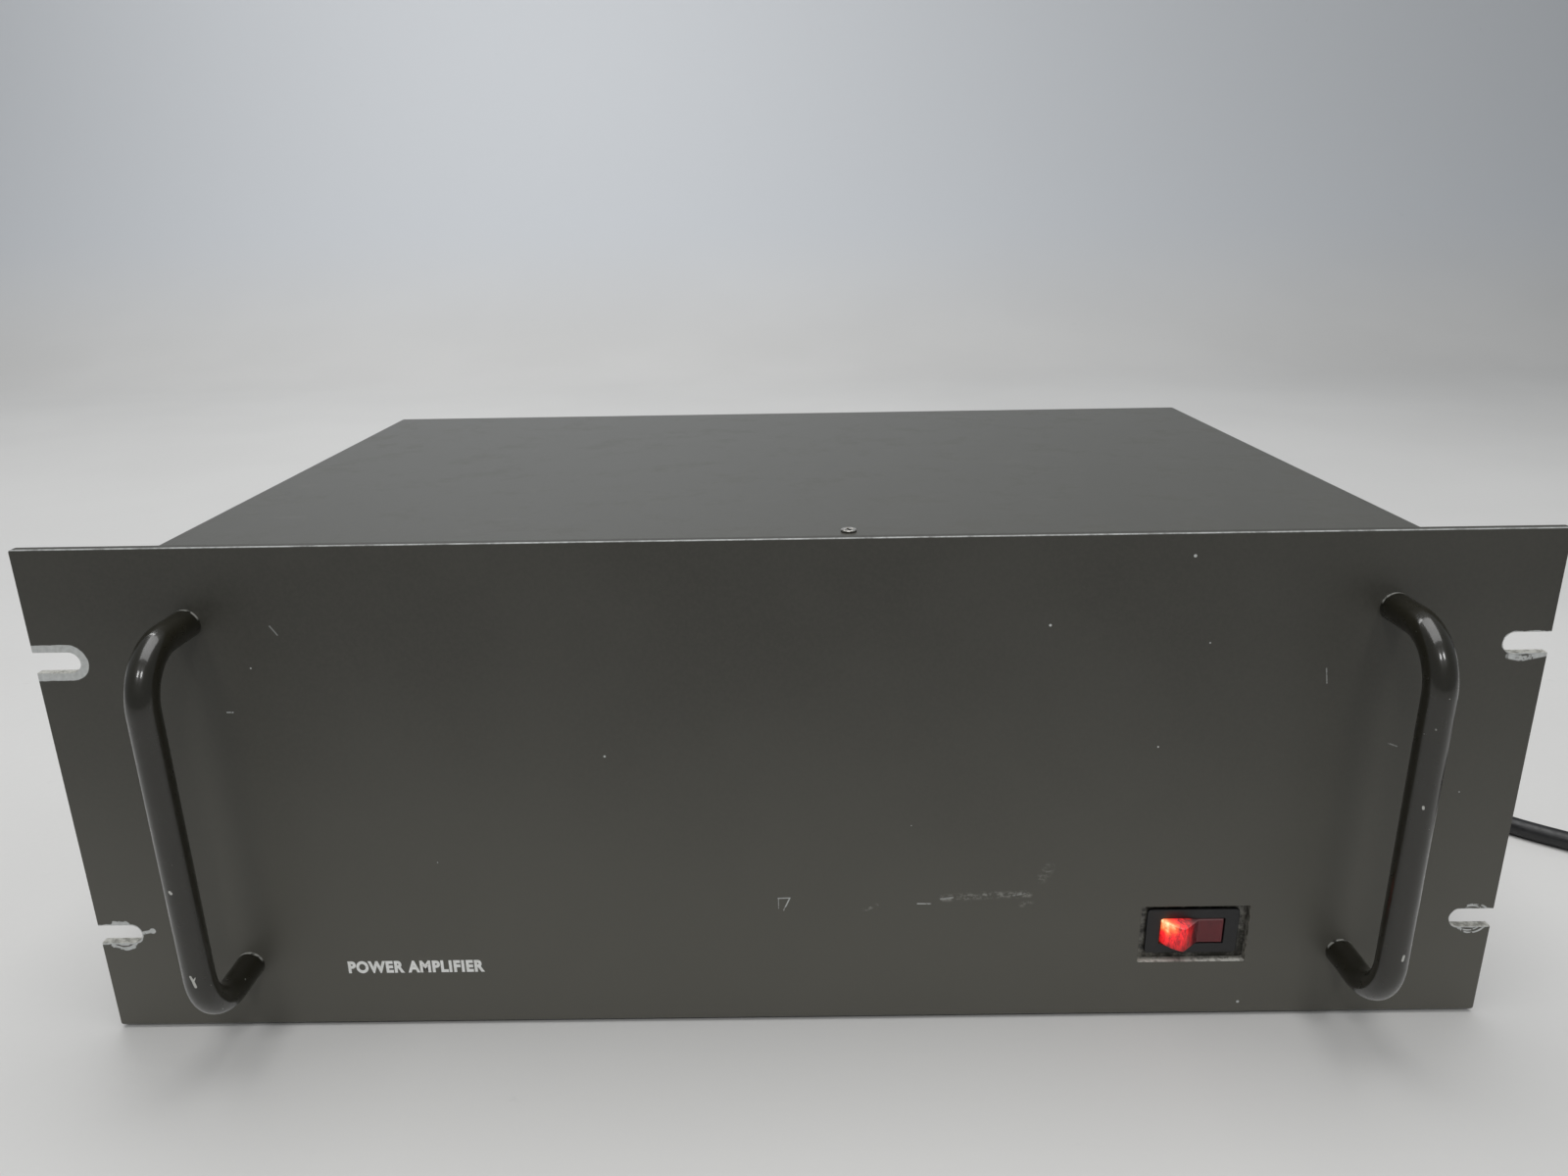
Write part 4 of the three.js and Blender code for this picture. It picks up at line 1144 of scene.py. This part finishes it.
LOOKS = {
    "panel": panel_paint(),
    "cut_edge": cut_edge(),
    "handle": handle_paint(),
    "case": case_paint(),
    "zinc": zinc(),
    "screw": screw_steel(),
    # Painted shade with grime, for the floors of screw recesses.
    "grime_and_shade": rubber("recess_shade_and_grime", tone(36, 34, 30), 0.8, 0.6),
    "feet": rubber("foot_rubber", tone(34, 34, 33), 0.75, 1.2),
    "cord": rubber("cord_pvc", tone(27, 27, 28), 0.42, 0.8),
    "black_plastic": moulded("black_plastic", tone(30, 30, 31), 0.42),
    "red_plastic": moulded("red_plastic", tone(168, 26, 28), 0.3, coat=0.3),
    "rocker": rocker_plastic(),
    "lamp": lamp_glass(),
    "chrome": plated("guard_chrome", tone(214, 214, 216), tone(170, 170, 172), 0.12),
    "iron": laminations(),
    "tape": winding(),
    "sleeve": capacitor_sleeve(),
    "anodised": anodised(),
    "device": plated("device_nickel", tone(190, 188, 182), tone(140, 137, 130), 0.3),
    "board": circuit_board(),
    "brass": plated("plated_brass", tone(214, 190, 130), tone(160, 134, 84), 0.2),
    "nickel": plated("nickel", tone(200, 198, 190), tone(150, 148, 140), 0.2),
    "label": label_white(),
}


# ---------- The cord and what is on it ----------
def make_cord():
    lead = tube(CORD_PATH, circle(0, 0, CORD_RADIUS, 20))
    cord = finished("mains_cord_lead", lead, "cord", "mains_cord", "mains_cord_coil")
    make_strain_relief()
    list(make_plug())
    make_tie()


make_cord()


# ---------- Front panel and handles ----------
PANEL_LOW, PANEL_HIGH = span("front_panel")


def slot_notch(side, z):
    """Into a rack slot and out again, going up on the right side and down on the left."""
    core = side * (PANEL_HALF - SLOT_REACH + SLOT_RADIUS)
    start = -90 * side
    bottom = arc(core, z, SLOT_RADIUS, start, start - 180, 14)
    return [(side * PANEL_HALF, bottom[0][1]), *bottom, (side * PANEL_HALF, bottom[-1][1])]


def panel_outline():
    low, high = PANEL_LOW.z, PANEL_HIGH.z
    corner = 0.8
    inset = PANEL_HALF - corner
    points = arc(-inset, low + corner, corner, 180, 270, 3)
    points += arc(inset, low + corner, corner, 270, 360, 3)
    for z in SLOT_LEVELS:
        points += slot_notch(1, z)
    points += arc(inset, high - corner, corner, 0, 90, 3)
    points += arc(-inset, high - corner, corner, 90, 180, 3)
    for z in reversed(SLOT_LEVELS):
        points += slot_notch(-1, z)
    return points


def is_cut_wall(polygon):
    """True for the walls of the window and of the rack slots."""
    if abs(polygon.normal.y) > 0.8:
        return False
    near = 0.5
    x, _, z = polygon.center
    window_x, window_z, width, height = WINDOW
    in_window = abs(x - window_x) < width / 2 + near and abs(z - window_z) < height / 2 + near
    at_edge = PANEL_HALF - SLOT_REACH - near < abs(x) < PANEL_HALF - 0.35
    in_slot = at_edge and any(abs(z - level) < SLOT_RADIUS + near for level in SLOT_LEVELS)
    return in_window or in_slot


def make_front_panel():
    window = rectangle(*WINDOW, 0.7, 3)
    mesh = plate(panel_outline(), [window], PANEL_HIGH.y - 0.05, 0.25)
    moved(mesh, UPRIGHT)
    mesh.materials.append(LOOKS["panel"])
    mesh.materials.append(LOOKS["cut_edge"])
    for polygon in mesh.polygons:
        polygon.material_index = int(is_cut_wall(polygon))
    finished("front_panel_plate", mesh, "panel", "front_panel")


def handle_path(x):
    """Out of the panel, round a quarter turn, up, and back into the panel, as (x, y, z)."""
    low, high = HANDLE_LEGS
    straight = HANDLE_BEND - HANDLE_REACH
    side_view = [(0.0, low), (straight / 2, low)]
    side_view += arc(straight, low + HANDLE_BEND, HANDLE_BEND, 270, 180, 16)
    side_view += [(-HANDLE_REACH, (low + high) / 2 + dz) for dz in (-20, 20)]
    side_view += arc(straight, high - HANDLE_BEND, HANDLE_BEND, 180, 90, 16)
    side_view += [(straight / 2, high), (0.0, high)]
    return [(x, y, z) for y, z in side_view]


def make_handles():
    for side in SIDES:
        bar = tube(handle_path(middle(f"handle_{side}").x), circle(0, 0, HANDLE_BAR, 36))
        finished(f"handle_bar_{side}", bar, "handle", f"handle_{side}")


LETTERS = "POWER AMPLIFIER"
LETTERS_LEFT = -156.6
LETTERS_WIDTH = 48.0
LETTERS_FOOT = 22.0
LETTERS_HEIGHT = 5.0
INK = 0.03


def make_lettering():
    """Plain capitals printed on the panel, as a skin of ink."""
    font = bpy.data.curves.new("letters", "FONT")
    font.body = LETTERS
    font.size = 1
    font.offset = 0.05
    font.space_character = 1.13
    bm = opened(meshed(font))
    bmesh.ops.remove_doubles(bm, verts=bm.verts, dist=1e-4)
    for axis, start, size in ((0, LETTERS_LEFT, LETTERS_WIDTH), (1, LETTERS_FOOT, LETTERS_HEIGHT)):
        values = [vertex.co[axis] for vertex in bm.verts]
        low, high = min(values), max(values)
        for vertex in bm.verts:
            vertex.co[axis] = start + (vertex.co[axis] - low) / (high - low) * size
    raised = bmesh.ops.extrude_face_region(bm, geom=bm.faces[:])["geom"]
    top = [v for v in raised if isinstance(v, bmesh.types.BMVert)]
    bmesh.ops.translate(bm, verts=top, vec=(0, 0, INK))
    finished("panel_lettering", moved(mesh_of(bm), UPRIGHT), "label")


# ---------- Case ----------
SHEET = 1.6
BEND = 2.2  # outer radius of a fold
BEND_LENGTH = BEND * math.pi / 2
VENT_Z = (62, 122)
VENT_SIZE = (48, 5)
VENTS_Y = [74 + 13 * i for i in range(12)]


def make_top_cover():
    """One sheet, slotted flat and then folded down at both sides."""
    bend_at = CASE_HALF - BEND
    # On the flat sheet, a height z on a side lies this far out, less z.
    unrolled = bend_at + BEND_LENGTH + CASE_TOP - BEND
    front, back = PANEL_HIGH.y, CASE_BACK
    width = 2 * (unrolled - CASE_BOTTOM)
    outline = rectangle(0, (front + back) / 2, width, back - front, 1.5)
    vents = [
        slotted(side * (unrolled - z), y, *VENT_SIZE, 6)
        for side in (-1, 1)
        for z in VENT_Z
        for y in VENTS_Y
    ]
    flat = plate(outline, vents, SHEET, 0.2, 1)
    mesh = folded(flat, [(bend_at, BEND), (-bend_at, BEND)])
    moved(mesh, shift(0, 0, CASE_TOP))
    finished("cover_sheet", mesh, "case", "top_cover", sharp=30)


FAN_Z = 92
FAN_BORE = 57.5
FAN_HALF_PITCH = 52.5
FAN_CORNERS = [(x * FAN_HALF_PITCH, z * FAN_HALF_PITCH) for x in (-1, 1) for z in (-1, 1)]
JACKS = {"left": -85, "right": 85}
JACK_Z = 140
POST_Z = 62
POSTS = {"left_black": -109.05, "left_red": -90, "right_black": 90, "right_red": 109.05}
FUSE = (136, 92)
CORD_EXIT = (150, 34)
# Pattern x to up, pattern y to the right, and the pattern's upper face to the back.
BACK_FACING = Matrix(((0, 1, 0, 0), (0, 0, 1, 0), (1, 0, 0, 0), (0, 0, 0, 1)))


def make_rear_panel():
    """A sheet with its holes, and a lip folded forward along the top."""
    low, high = span("rear_panel")
    bend_at = high.z - BEND
    edge = bend_at + BEND_LENGTH + (CASE_BACK - low.y) - BEND
    outline = rectangle((low.z + edge) / 2, 0, edge - low.z, high.x - low.x, 1)
    holes = [(0, FAN_Z, FAN_BORE, 72)]
    holes += [(x, FAN_Z + z, 2.3, 16) for x, z in FAN_CORNERS]
    holes += [(x, JACK_Z, 4.2, 24) for x in JACKS.values()]
    holes += [(x, POST_Z, 4.2, 24) for x in POSTS.values()]
    holes += [(*FUSE, 6.5, 32), (*CORD_EXIT, 8, 32)]
    cuts = [circle(z, x, radius, points) for x, z, radius, points in holes]
    mesh = folded(plate(outline, cuts, SHEET, 0.2, 1), [(bend_at, BEND)])
    moved(mesh, BACK_FACING, shift(0, CASE_BACK, 0))
    finished("rear_sheet", mesh, "case", "rear_panel", sharp=30)


def cross(reach, width):
    """The outline of a cross recess."""
    half = width / 2
    quarter = [(reach, -half), (reach, half), (half, half)]
    points = []
    for _ in range(4):
        points += quarter
        quarter = [(-y, x) for x, y in quarter]
    return points


def screw_head(radius, height):
    """A pan head whose cross recess has a floor painted dark, as shade with grime, its seat at z =
    0.
    """
    floor = height * 0.25
    recess = cross(radius * 0.6, radius * 0.28)
    edge = min(0.4 * height, 0.5)
    crown = plate(circle(0, 0, radius, 32), [recess], height - floor, edge, 4)
    moved(crown, shift(0, 0, height))
    base = cylinder(0, radius * 0.985, 0, floor, 32, 0.1)
    for look in ("screw", "grime_and_shade"):
        crown.materials.append(LOOKS[look])
        base.materials.append(LOOKS[look])
    # Painted shade with grime: the base, which is the recess floor and the foot of the rim, is dark.
    for polygon in base.polygons:
        polygon.material_index = 1
    return joined(crown, base)


def make_cover_screws():
    """One on top near the front, and two low on each side. Each is left turned its own way."""
    places = {"cover_screw_front": [shift(20, 17.5, CASE_TOP)]}
    for side, way in SIDES.items():
        for end, y in (("front", 45), ("rear", 210)):
            outward = turn(90 * way, "Y")
            places[f"cover_screw_{side}_{end}"] = [outward, shift(way * CASE_HALF, y, 20)]
    turned = [[turn(17 * len(node), "Z"), *place] for node, place in places.items()]
    for node, screw in zip(places, copies(screw_head(2.6, 0.8), turned)):
        finished(node + "_head", screw, "screw", node)


def rear_heads(name, head, places, twist):
    """Copies of a screw head that face back, each turned its own way, as one piece."""
    turns = [(turn(twist * i, "Z"), BACKWARD, shift(*place)) for i, place in enumerate(places)]
    finished(name, joined(*copies(head, turns)), "screw")


REAR_SCREWS_Z = 16  # in the chassis pan's rear lip


def make_rear_screws():
    places = [(x, CASE_BACK, REAR_SCREWS_Z) for x in (-180, -62, 62, 180)]
    rear_heads("rear_panel_screws", screw_head(2.8, 1.3), places, 23)


def make_feet():
    profile = [(0, 4), (4, 4), (4, 0), (11, 0), (12.5, 9.2), (0, 9.2)]
    for node in [f"foot_{end}_{side}" for end in ("front", "rear") for side in SIDES]:
        x, y, _ = middle(node)
        pad = moved(lathe(profile, 48, 0.8, 4), shift(x, y, 0))
        finished(node + "_pad", pad, "feet", node)
        screw = moved(screw_head(3.2, 1.6), turn(180, "X"), shift(x, y, 4))
        finished(node + "_screw", screw, "screw")


# ---------- Power switch ----------
BEZEL = (32, 17.5)
ROCKER_MOUTH = (22.4, 10.2)
ROCKER_RADIUS = 12
ROCKER_FACE = 5.7  # from the pivot to the plane of each half
ROCKER_TILT = 20
ROCKER_HEIGHT = 9.4
BEZEL_FRONT = 1.7


def make_switch_housing():
    x, _, z = ROCKER_CENTRE
    mouth = rectangle(x, z, *ROCKER_MOUTH, 0.4, 2)
    bezel = plate(rectangle(x, z, *BEZEL, 1.2, 4), [mouth], 1.2, 0.35, 3)
    moved(bezel, UPRIGHT, shift(0, BEZEL_FRONT, 0))
    well = rectangle(x, z, 25, ROCKER_MOUTH[1], 0.3, 2)
    sleeve = plate(rectangle(x, z, 28, 14, 0.6), [well], 11.5, 0.2, 1)
    moved(sleeve, UPRIGHT, shift(0, 2.9, 0))
    back = rounded_box(about(x, 28), (14.4, 28), about(z, 14), 0.6)
    finished("switch_bezel", joined(bezel, sleeve, back), "black_plastic", "switch_housing")
    tabs = [
        rounded_box(about(x + dx, 6.3), (27.9, 36), about(z, 0.8), 0.15, 1)
        for dx in (-9, 0, 9)
    ]
    finished("switch_terminals", joined(*tabs), "brass")


def make_rocker():
    """A shallow V in front with rounded ends about the pivot, and a boss round the pivot pin."""
    tip = math.degrees(math.acos(ROCKER_FACE / ROCKER_RADIUS)) - ROCKER_TILT
    vertex = ROCKER_FACE / math.cos(math.radians(ROCKER_TILT))
    outline = [(0.5, vertex + 0.15), (0, vertex), (-0.5, vertex + 0.15)]
    outline += arc(0, 0, ROCKER_RADIUS, 90 + tip, 175, 8)
    outline += arc(0, 0, 3.2, 199, 341, 10)
    outline += arc(0, 0, ROCKER_RADIUS, 5, 90 - tip, 8)
    mesh = plate(outline, [circle(0, 0, 1.25, 24)], ROCKER_HEIGHT, 0.5, 3)
    mirror = Matrix.Scale(-1, 4, (0, 1, 0))
    moved(mesh, shift(0, 0, ROCKER_HEIGHT / 2), mirror, turn(ROCKER_TILT, "Z"))
    moved(mesh, shift(*ROCKER_CENTRE))
    mesh.flip_normals()
    finished("rocker_cap", mesh, "rocker", "switch_rocker", body="power_rocker")


# ---------- Cooling fan ----------
FAN_SIZE = 119.8
FAN_DEPTH = (214.1, 252.1)
HUB = 22


def make_fan_frame():
    front, back = FAN_DEPTH
    holes = [circle(0, FAN_Z, FAN_BORE, 72)]
    holes += [circle(x, FAN_Z + z, 2.2, 16) for x, z in FAN_CORNERS]
    flange = plate(rectangle(0, FAN_Z, FAN_SIZE, FAN_SIZE, 5, 6), holes, 4, 0.5)
    flanges = copies(flange, [(UPRIGHT, shift(0, y, 0)) for y in (front, back - 4)])
    lift = shift(0, 0, FAN_Z)
    barrel = cylinder(FAN_BORE, 59.6, front, back, 72, 0.4)
    motor = cylinder(0, HUB, front, front + 8, 48, 1.2, 3)
    strut = rounded_box((HUB - 1, FAN_BORE + 1), (front, front + 4), about(0, 5), 0.8)
    struts = copies(strut, [(turn(angle, "Y"), lift) for angle in (90, 210, 330)])
    body = joined(*flanges, moved(barrel, BACKWARD, lift), moved(motor, BACKWARD, lift), *struts)
    finished("fan_housing", body, "black_plastic", "fan_frame")


def fan_blade():
    """A cambered blade that flattens towards its tip, reaching out along X."""
    sections = []
    steps = 8
    for i in range(steps + 1):
        share = i / steps
        radius = HUB - 1 + share * 34.5
        pitch = math.radians(50 - 16 * share)
        chord = 21 + 9 * share
        outline = blade_section(0.9 - 0.3 * share)
        sections.append([blade_point(radius, chord, pitch, u, w) for u, w in outline])
    return lofted(sections)


def blade_section(half_thick):
    """(position along the chord, height) round a thin cambered section."""
    stations = [k / 8 for k in range(9)]
    upper = [(u, half_thick * math.sin(math.pi * (0.08 + 0.84 * u))) for u in stations]
    lower = [(u, -w) for u, w in reversed(upper)]
    return upper + lower


def blade_point(radius, chord, pitch, share, height):
    along = (share - 0.5) * chord
    camber = 0.09 * chord * (1 - (2 * share - 1) ** 2)
    rise = height + camber
    y = along * math.cos(pitch) - rise * math.sin(pitch)
    z = along * math.sin(pitch) + rise * math.cos(pitch)
    return (math.sqrt(max(radius**2 - z**2, 1)), y, z)


def make_fan_rotor():
    front, back = FAN_DEPTH[0] + 8.3, FAN_DEPTH[1] - 3
    lift = shift(0, 0, FAN_Z)
    profile = [(0, front), (HUB, front), (HUB, back - 1.5), (HUB - 3, back), (0, back)]
    hub = lathe(profile, 64, 1.2, 4)
    bead = moved(ring(HUB - 6, 0.4, 64), shift(0, 0, back))
    halfway = shift(0, (front + back) / 2, 0)
    blades = copies(fan_blade(), [(halfway, turn(72 * i, "Y"), lift) for i in range(5)])
    shaft = cylinder(0, 2.5, span("fan_rotor")[0].y, front + 1)
    turned = [moved(mesh, BACKWARD, lift) for mesh in (hub, bead, shaft)]
    impeller = joined(*turned, *blades)
    finished("fan_impeller", impeller, "black_plastic", "fan_rotor", body="fan_rotor")


GUARD_RINGS = (10, 18, 26, 34, 42, 50, 57)
GUARD_WIRE = 0.8
GUARD_RISE = 3.6  # of the spokes' middle over the panel


def guard_spoke():
    """A wire along X that carries the rings, bent down to an eye round the fixing screw."""
    eye_at = FAN_HALF_PITCH * math.sqrt(2)
    side_view = [(9, GUARD_RISE), (58, GUARD_RISE), (62, 3.0), (66, 1.2), (68.5, 0.9), (70.8, 0.9)]
    path = smooth_path([(x, 0, z) for x, z in side_view], 2.5)
    wire = tube(path, circle(0, 0, GUARD_WIRE, 8))
    eye = moved(ring(3.6, GUARD_WIRE, 24, 8), shift(eye_at, 0, 0.9))
    return joined(wire, eye)


def make_fan_guard():
    wires = copies(guard_spoke(), [[turn(angle, "Z")] for angle in (45, 135, 225, 315)])
    over_spokes = shift(0, 0, GUARD_RISE + 2 * GUARD_WIRE * 0.92)
    wires += [moved(ring(radius, GUARD_WIRE, 72, 8), over_spokes) for radius in GUARD_RINGS]
    guard = backward(joined(*wires), 0, CASE_BACK, FAN_Z)
    finished("fan_guard_wires", guard, "chrome", "fan_guard")
    places = [(x, CASE_BACK + 1.75, FAN_Z + z) for x, z in FAN_CORNERS]
    rear_heads("fan_guard_screws", screw_head(3.4, 1.9), places, 31)


# ---------- Rear connectors ----------
def fluted(radius, depth, flutes):
    """A round outline with grip flutes, six points to each."""
    count = flutes * 6
    outline = []
    for i in range(count):
        angle = 2 * math.pi * i / count
        reach = radius - depth * (0.5 - 0.5 * math.cos(flutes * angle)) ** 2
        outline.append((reach * math.cos(angle), reach * math.sin(angle)))
    return outline


def hexagon(radius):
    return circle(0, 0, radius, 6)


def backward(mesh, x, y, z):
    """Turns a thing made along Z to point backward from a place."""
    return moved(mesh, BACKWARD, shift(x, y, z))


def make_binding_post(key, x):
    """A collar on the panel, a metal stud with its nut, and a fluted cap that turns on it."""
    look = "red_plastic" if key.endswith("red") else "black_plastic"
    stud_node, cap_node = f"post_stud_{key}", f"post_cap_{key}"
    collar = lathe([(3.1, 0), (7, 0), (7, 2.2), (6.2, 3.9), (3.1, 3.9)], 40, 0.4, 3)
    finished(f"post_collar_{key}", backward(collar, x, CASE_BACK + 0.05, POST_Z), look)
    foot = span(stud_node)[0].y
    step, tip, bottom = CASE_BACK - 8, CASE_BACK + 20, CASE_BACK + 5
    profile = [(0, foot), (2, foot), (2, step), (3, step), (3, tip), (2.05, tip), (2.05, bottom)]
    stud = lathe([*profile, (0, bottom)], 32)
    nut = plate(hexagon(5.4), [circle(0, 0, 3, 24)], 3.2, 0.3)
    moved(nut, shift(0, 0, CASE_BACK - 2.5))
    metal = backward(joined(stud, nut), x, 0, POST_Z)
    finished(f"post_stud_{key}_metal", metal, "brass", stud_node)
    end = span(cap_node)[1].y
    grip_end = end - 3
    length = grip_end - (CASE_BACK + 4.3)
    grip = plate(fluted(7, 0.7, 18), [circle(0, 0, 5.1, 36)], length, 0.5, 3)
    moved(grip, shift(0, 0, grip_end))
    profile = [(2.6, grip_end), (6.3, grip_end), (6.3, end - 0.8), (5.4, end), (2.6, end)]
    cap = backward(joined(grip, lathe(profile, 40, 0.3, 3)), x, 0, POST_Z)
    finished(f"post_grip_{key}", cap, look, cap_node, body=cap_node)


def make_input_jack(name, x):
    """A plated shell and nut round a plastic core with a socket."""
    node = f"input_jack_{name}"
    front, back = span(node)[0].y, span(node)[1].y
    nut = plate(hexagon(6.5), [circle(0, 0, 4, 32)], 2.3, 0.35)
    moved(nut, shift(0, 0, CASE_BACK + 2.5))
    barrel = cylinder(3.4, 4.15, CASE_BACK - 2, back, 40, 0.25)
    tail = cylinder(0, 2, front, CASE_BACK - 3)
    finished(node + "_shell", backward(joined(nut, barrel, tail), x, 0, JACK_Z), "brass", node)
    foot, end, socket = CASE_BACK - 1.9, back - 0.5, CASE_BACK + 3
    profile = [(0, foot), (3.38, foot), (3.38, end), (1.7, end), (1.7, socket), (0, socket)]
    core = backward(lathe(profile, 32, 0.15), x, 0, JACK_Z)
    finished(node + "_core", core, "red_plastic" if name == "right" else "black_plastic")


FUSE_CROWN = 1.6  # the slotted top of the fuse cap


def make_fuse():
    """A holder with a collar on the panel, and a cap with a driver slot that turns in it."""
    x, z = FUSE
    collar = span("fuse_holder")[1].y
    front, waist, seat, bottom = (CASE_BACK + dy for dy in (-32, -2, 0.2, -28))
    profile = [(0, front), (7, front), (7, waist), (6.2, waist), (6.2, seat), (9, seat)]
    profile += [(9, collar - 0.8), (8.2, collar), (4.6, collar), (4.6, bottom), (0, bottom)]
    body = backward(lathe(profile, 48), x, 0, z)
    finished("fuse_holder_body", body, "black_plastic", "fuse_holder")
    foot, top = (corner.y for corner in span("fuse_cap"))
    outline = fluted(7.4, 0.55, 20)
    seam = top - FUSE_CROWN
    crown = plate(outline, [rectangle(0, 0, 8.6, 1.4, 0.2, 1)], FUSE_CROWN, 0.4, 2)
    moved(crown, shift(0, 0, top))
    grip = moved(plate(outline, [], seam - collar - 0.3, 0.3, 2), shift(0, 0, seam))
    stem = cylinder(0, 4, foot, collar + 1, 32)
    knob = backward(joined(crown, grip, stem), x, 0, z)
    finished("fuse_cap_knob", knob, "black_plastic", "fuse_cap", body="fuse_cap")


# ---------- Carried-over CAD nodes ----------
HANDLE_SCREWS = [f"handle_screw_{side}_{end}" for side in SIDES for end in ("bottom", "top")]
INNER_LOOKS = {
    "zinc": ["chassis_pan", "transformer_frame", "capacitor_clamp_left", "capacitor_clamp_right"],
    "screw": ["switch_pivot", *HANDLE_SCREWS],
    "lamp": ["switch_lamp"],
    "iron": ["transformer_core"],
    "tape": ["transformer_winding"],
    "sleeve": ["filter_capacitor_left", "filter_capacitor_right"],
    "black_plastic": ["bridge_rectifier"],
    "anodised": ["heat_sink_left", "heat_sink_right"],
    "device": ["output_stage_left", "output_stage_right"],
    "board": ["driver_board_left", "driver_board_right"],
    "brass": [f"post_insert_{key}" for key in POSTS],
}


def paint_inner_nodes():
    for look, nodes in INNER_LOOKS.items():
        for node in nodes:
            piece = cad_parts[node]
            if not piece.material_slots:
                piece.data.materials.append(LOOKS[look])
            for place in piece.material_slots:
                place.material = LOOKS[look]


make_front_panel()
make_handles()
make_lettering()
make_top_cover()
make_rear_panel()
make_cover_screws()
make_rear_screws()
make_feet()
make_switch_housing()
make_rocker()
make_fan_frame()
make_fan_rotor()
make_fan_guard()
for key, x in POSTS.items():
    make_binding_post(key, x)
for name, x in JACKS.items():
    make_input_jack(name, x)
make_fuse()
paint_inner_nodes()


# ---------- Table, backdrop and light ----------
SWEEP_HALF = 4.0  # all in metres
SWEEP_FRONT = -4.0
SWEEP_WALL = 2.4
SWEEP_RADIUS = 0.9
SWEEP_TOP = 3.2


def make_stage():
    """A table top that curves up into a backdrop."""
    profile = [(SWEEP_FRONT, 0.0)]
    profile += arc(SWEEP_WALL - SWEEP_RADIUS, SWEEP_RADIUS, SWEEP_RADIUS, -90, 0, 24)
    profile += [(SWEEP_WALL, SWEEP_TOP)]
    bm = bmesh.new()
    rows = [[bm.verts.new((x, y, z)) for x in (-SWEEP_HALF, SWEEP_HALF)] for y, z in profile]
    for low, high in zip(rows, rows[1:]):
        bm.faces.new((low[0], low[1], high[1], high[0]))
    mesh = bpy.data.meshes.new("backdrop")
    bm.to_mesh(mesh)
    bm.free()
    mesh.shade_smooth()
    mesh.materials.append(pale_floor())
    placed("backdrop", mesh)


LIGHTS = {  # place and aim in metres, width and depth in metres, watts
    "overhead": ((0.0, -0.05, 1.8), (0, -0.05, 0.1), (1.6, 1.3), 20.5),
    "left_lamp": ((-0.55, -2.0, 2.2), (0, -0.1, 0.1), (0.42, 0.42), 10),
    "right_lamp": ((0.55, -2.0, 2.2), (0, -0.1, 0.1), (0.42, 0.42), 10),
    "backdrop_wash": ((-0.9, 0.9, 1.9), (-0.3, 2.4, 0.9), (1.0, 0.6), 17),
}


def make_light(name, place, aim, size, watts):
    """A soft rectangular lamp at a place in metres, aimed at another."""
    data = bpy.data.lights.new(name, "AREA")
    data.shape = "RECTANGLE"
    data.size, data.size_y = size
    data.energy = watts
    lamp = placed(name, data)
    lamp.location = place
    lamp.rotation_euler = (Vector(aim) - Vector(place)).to_track_quat("-Z", "Y").to_euler()


def make_world():
    world = bpy.data.worlds.new("studio")
    world.use_nodes = True
    background = world.node_tree.nodes["Background"]
    background.inputs["Color"].default_value = (0.93, 0.97, 1.0, 1)
    background.inputs["Strength"].default_value = WORLD_LIGHT
    bpy.context.scene.world = world


WORLD_LIGHT = 0.24
make_stage()
make_world()
for name, light in LIGHTS.items():
    make_light(name, *light)
bpy.context.scene.view_settings.view_transform = "Standard"
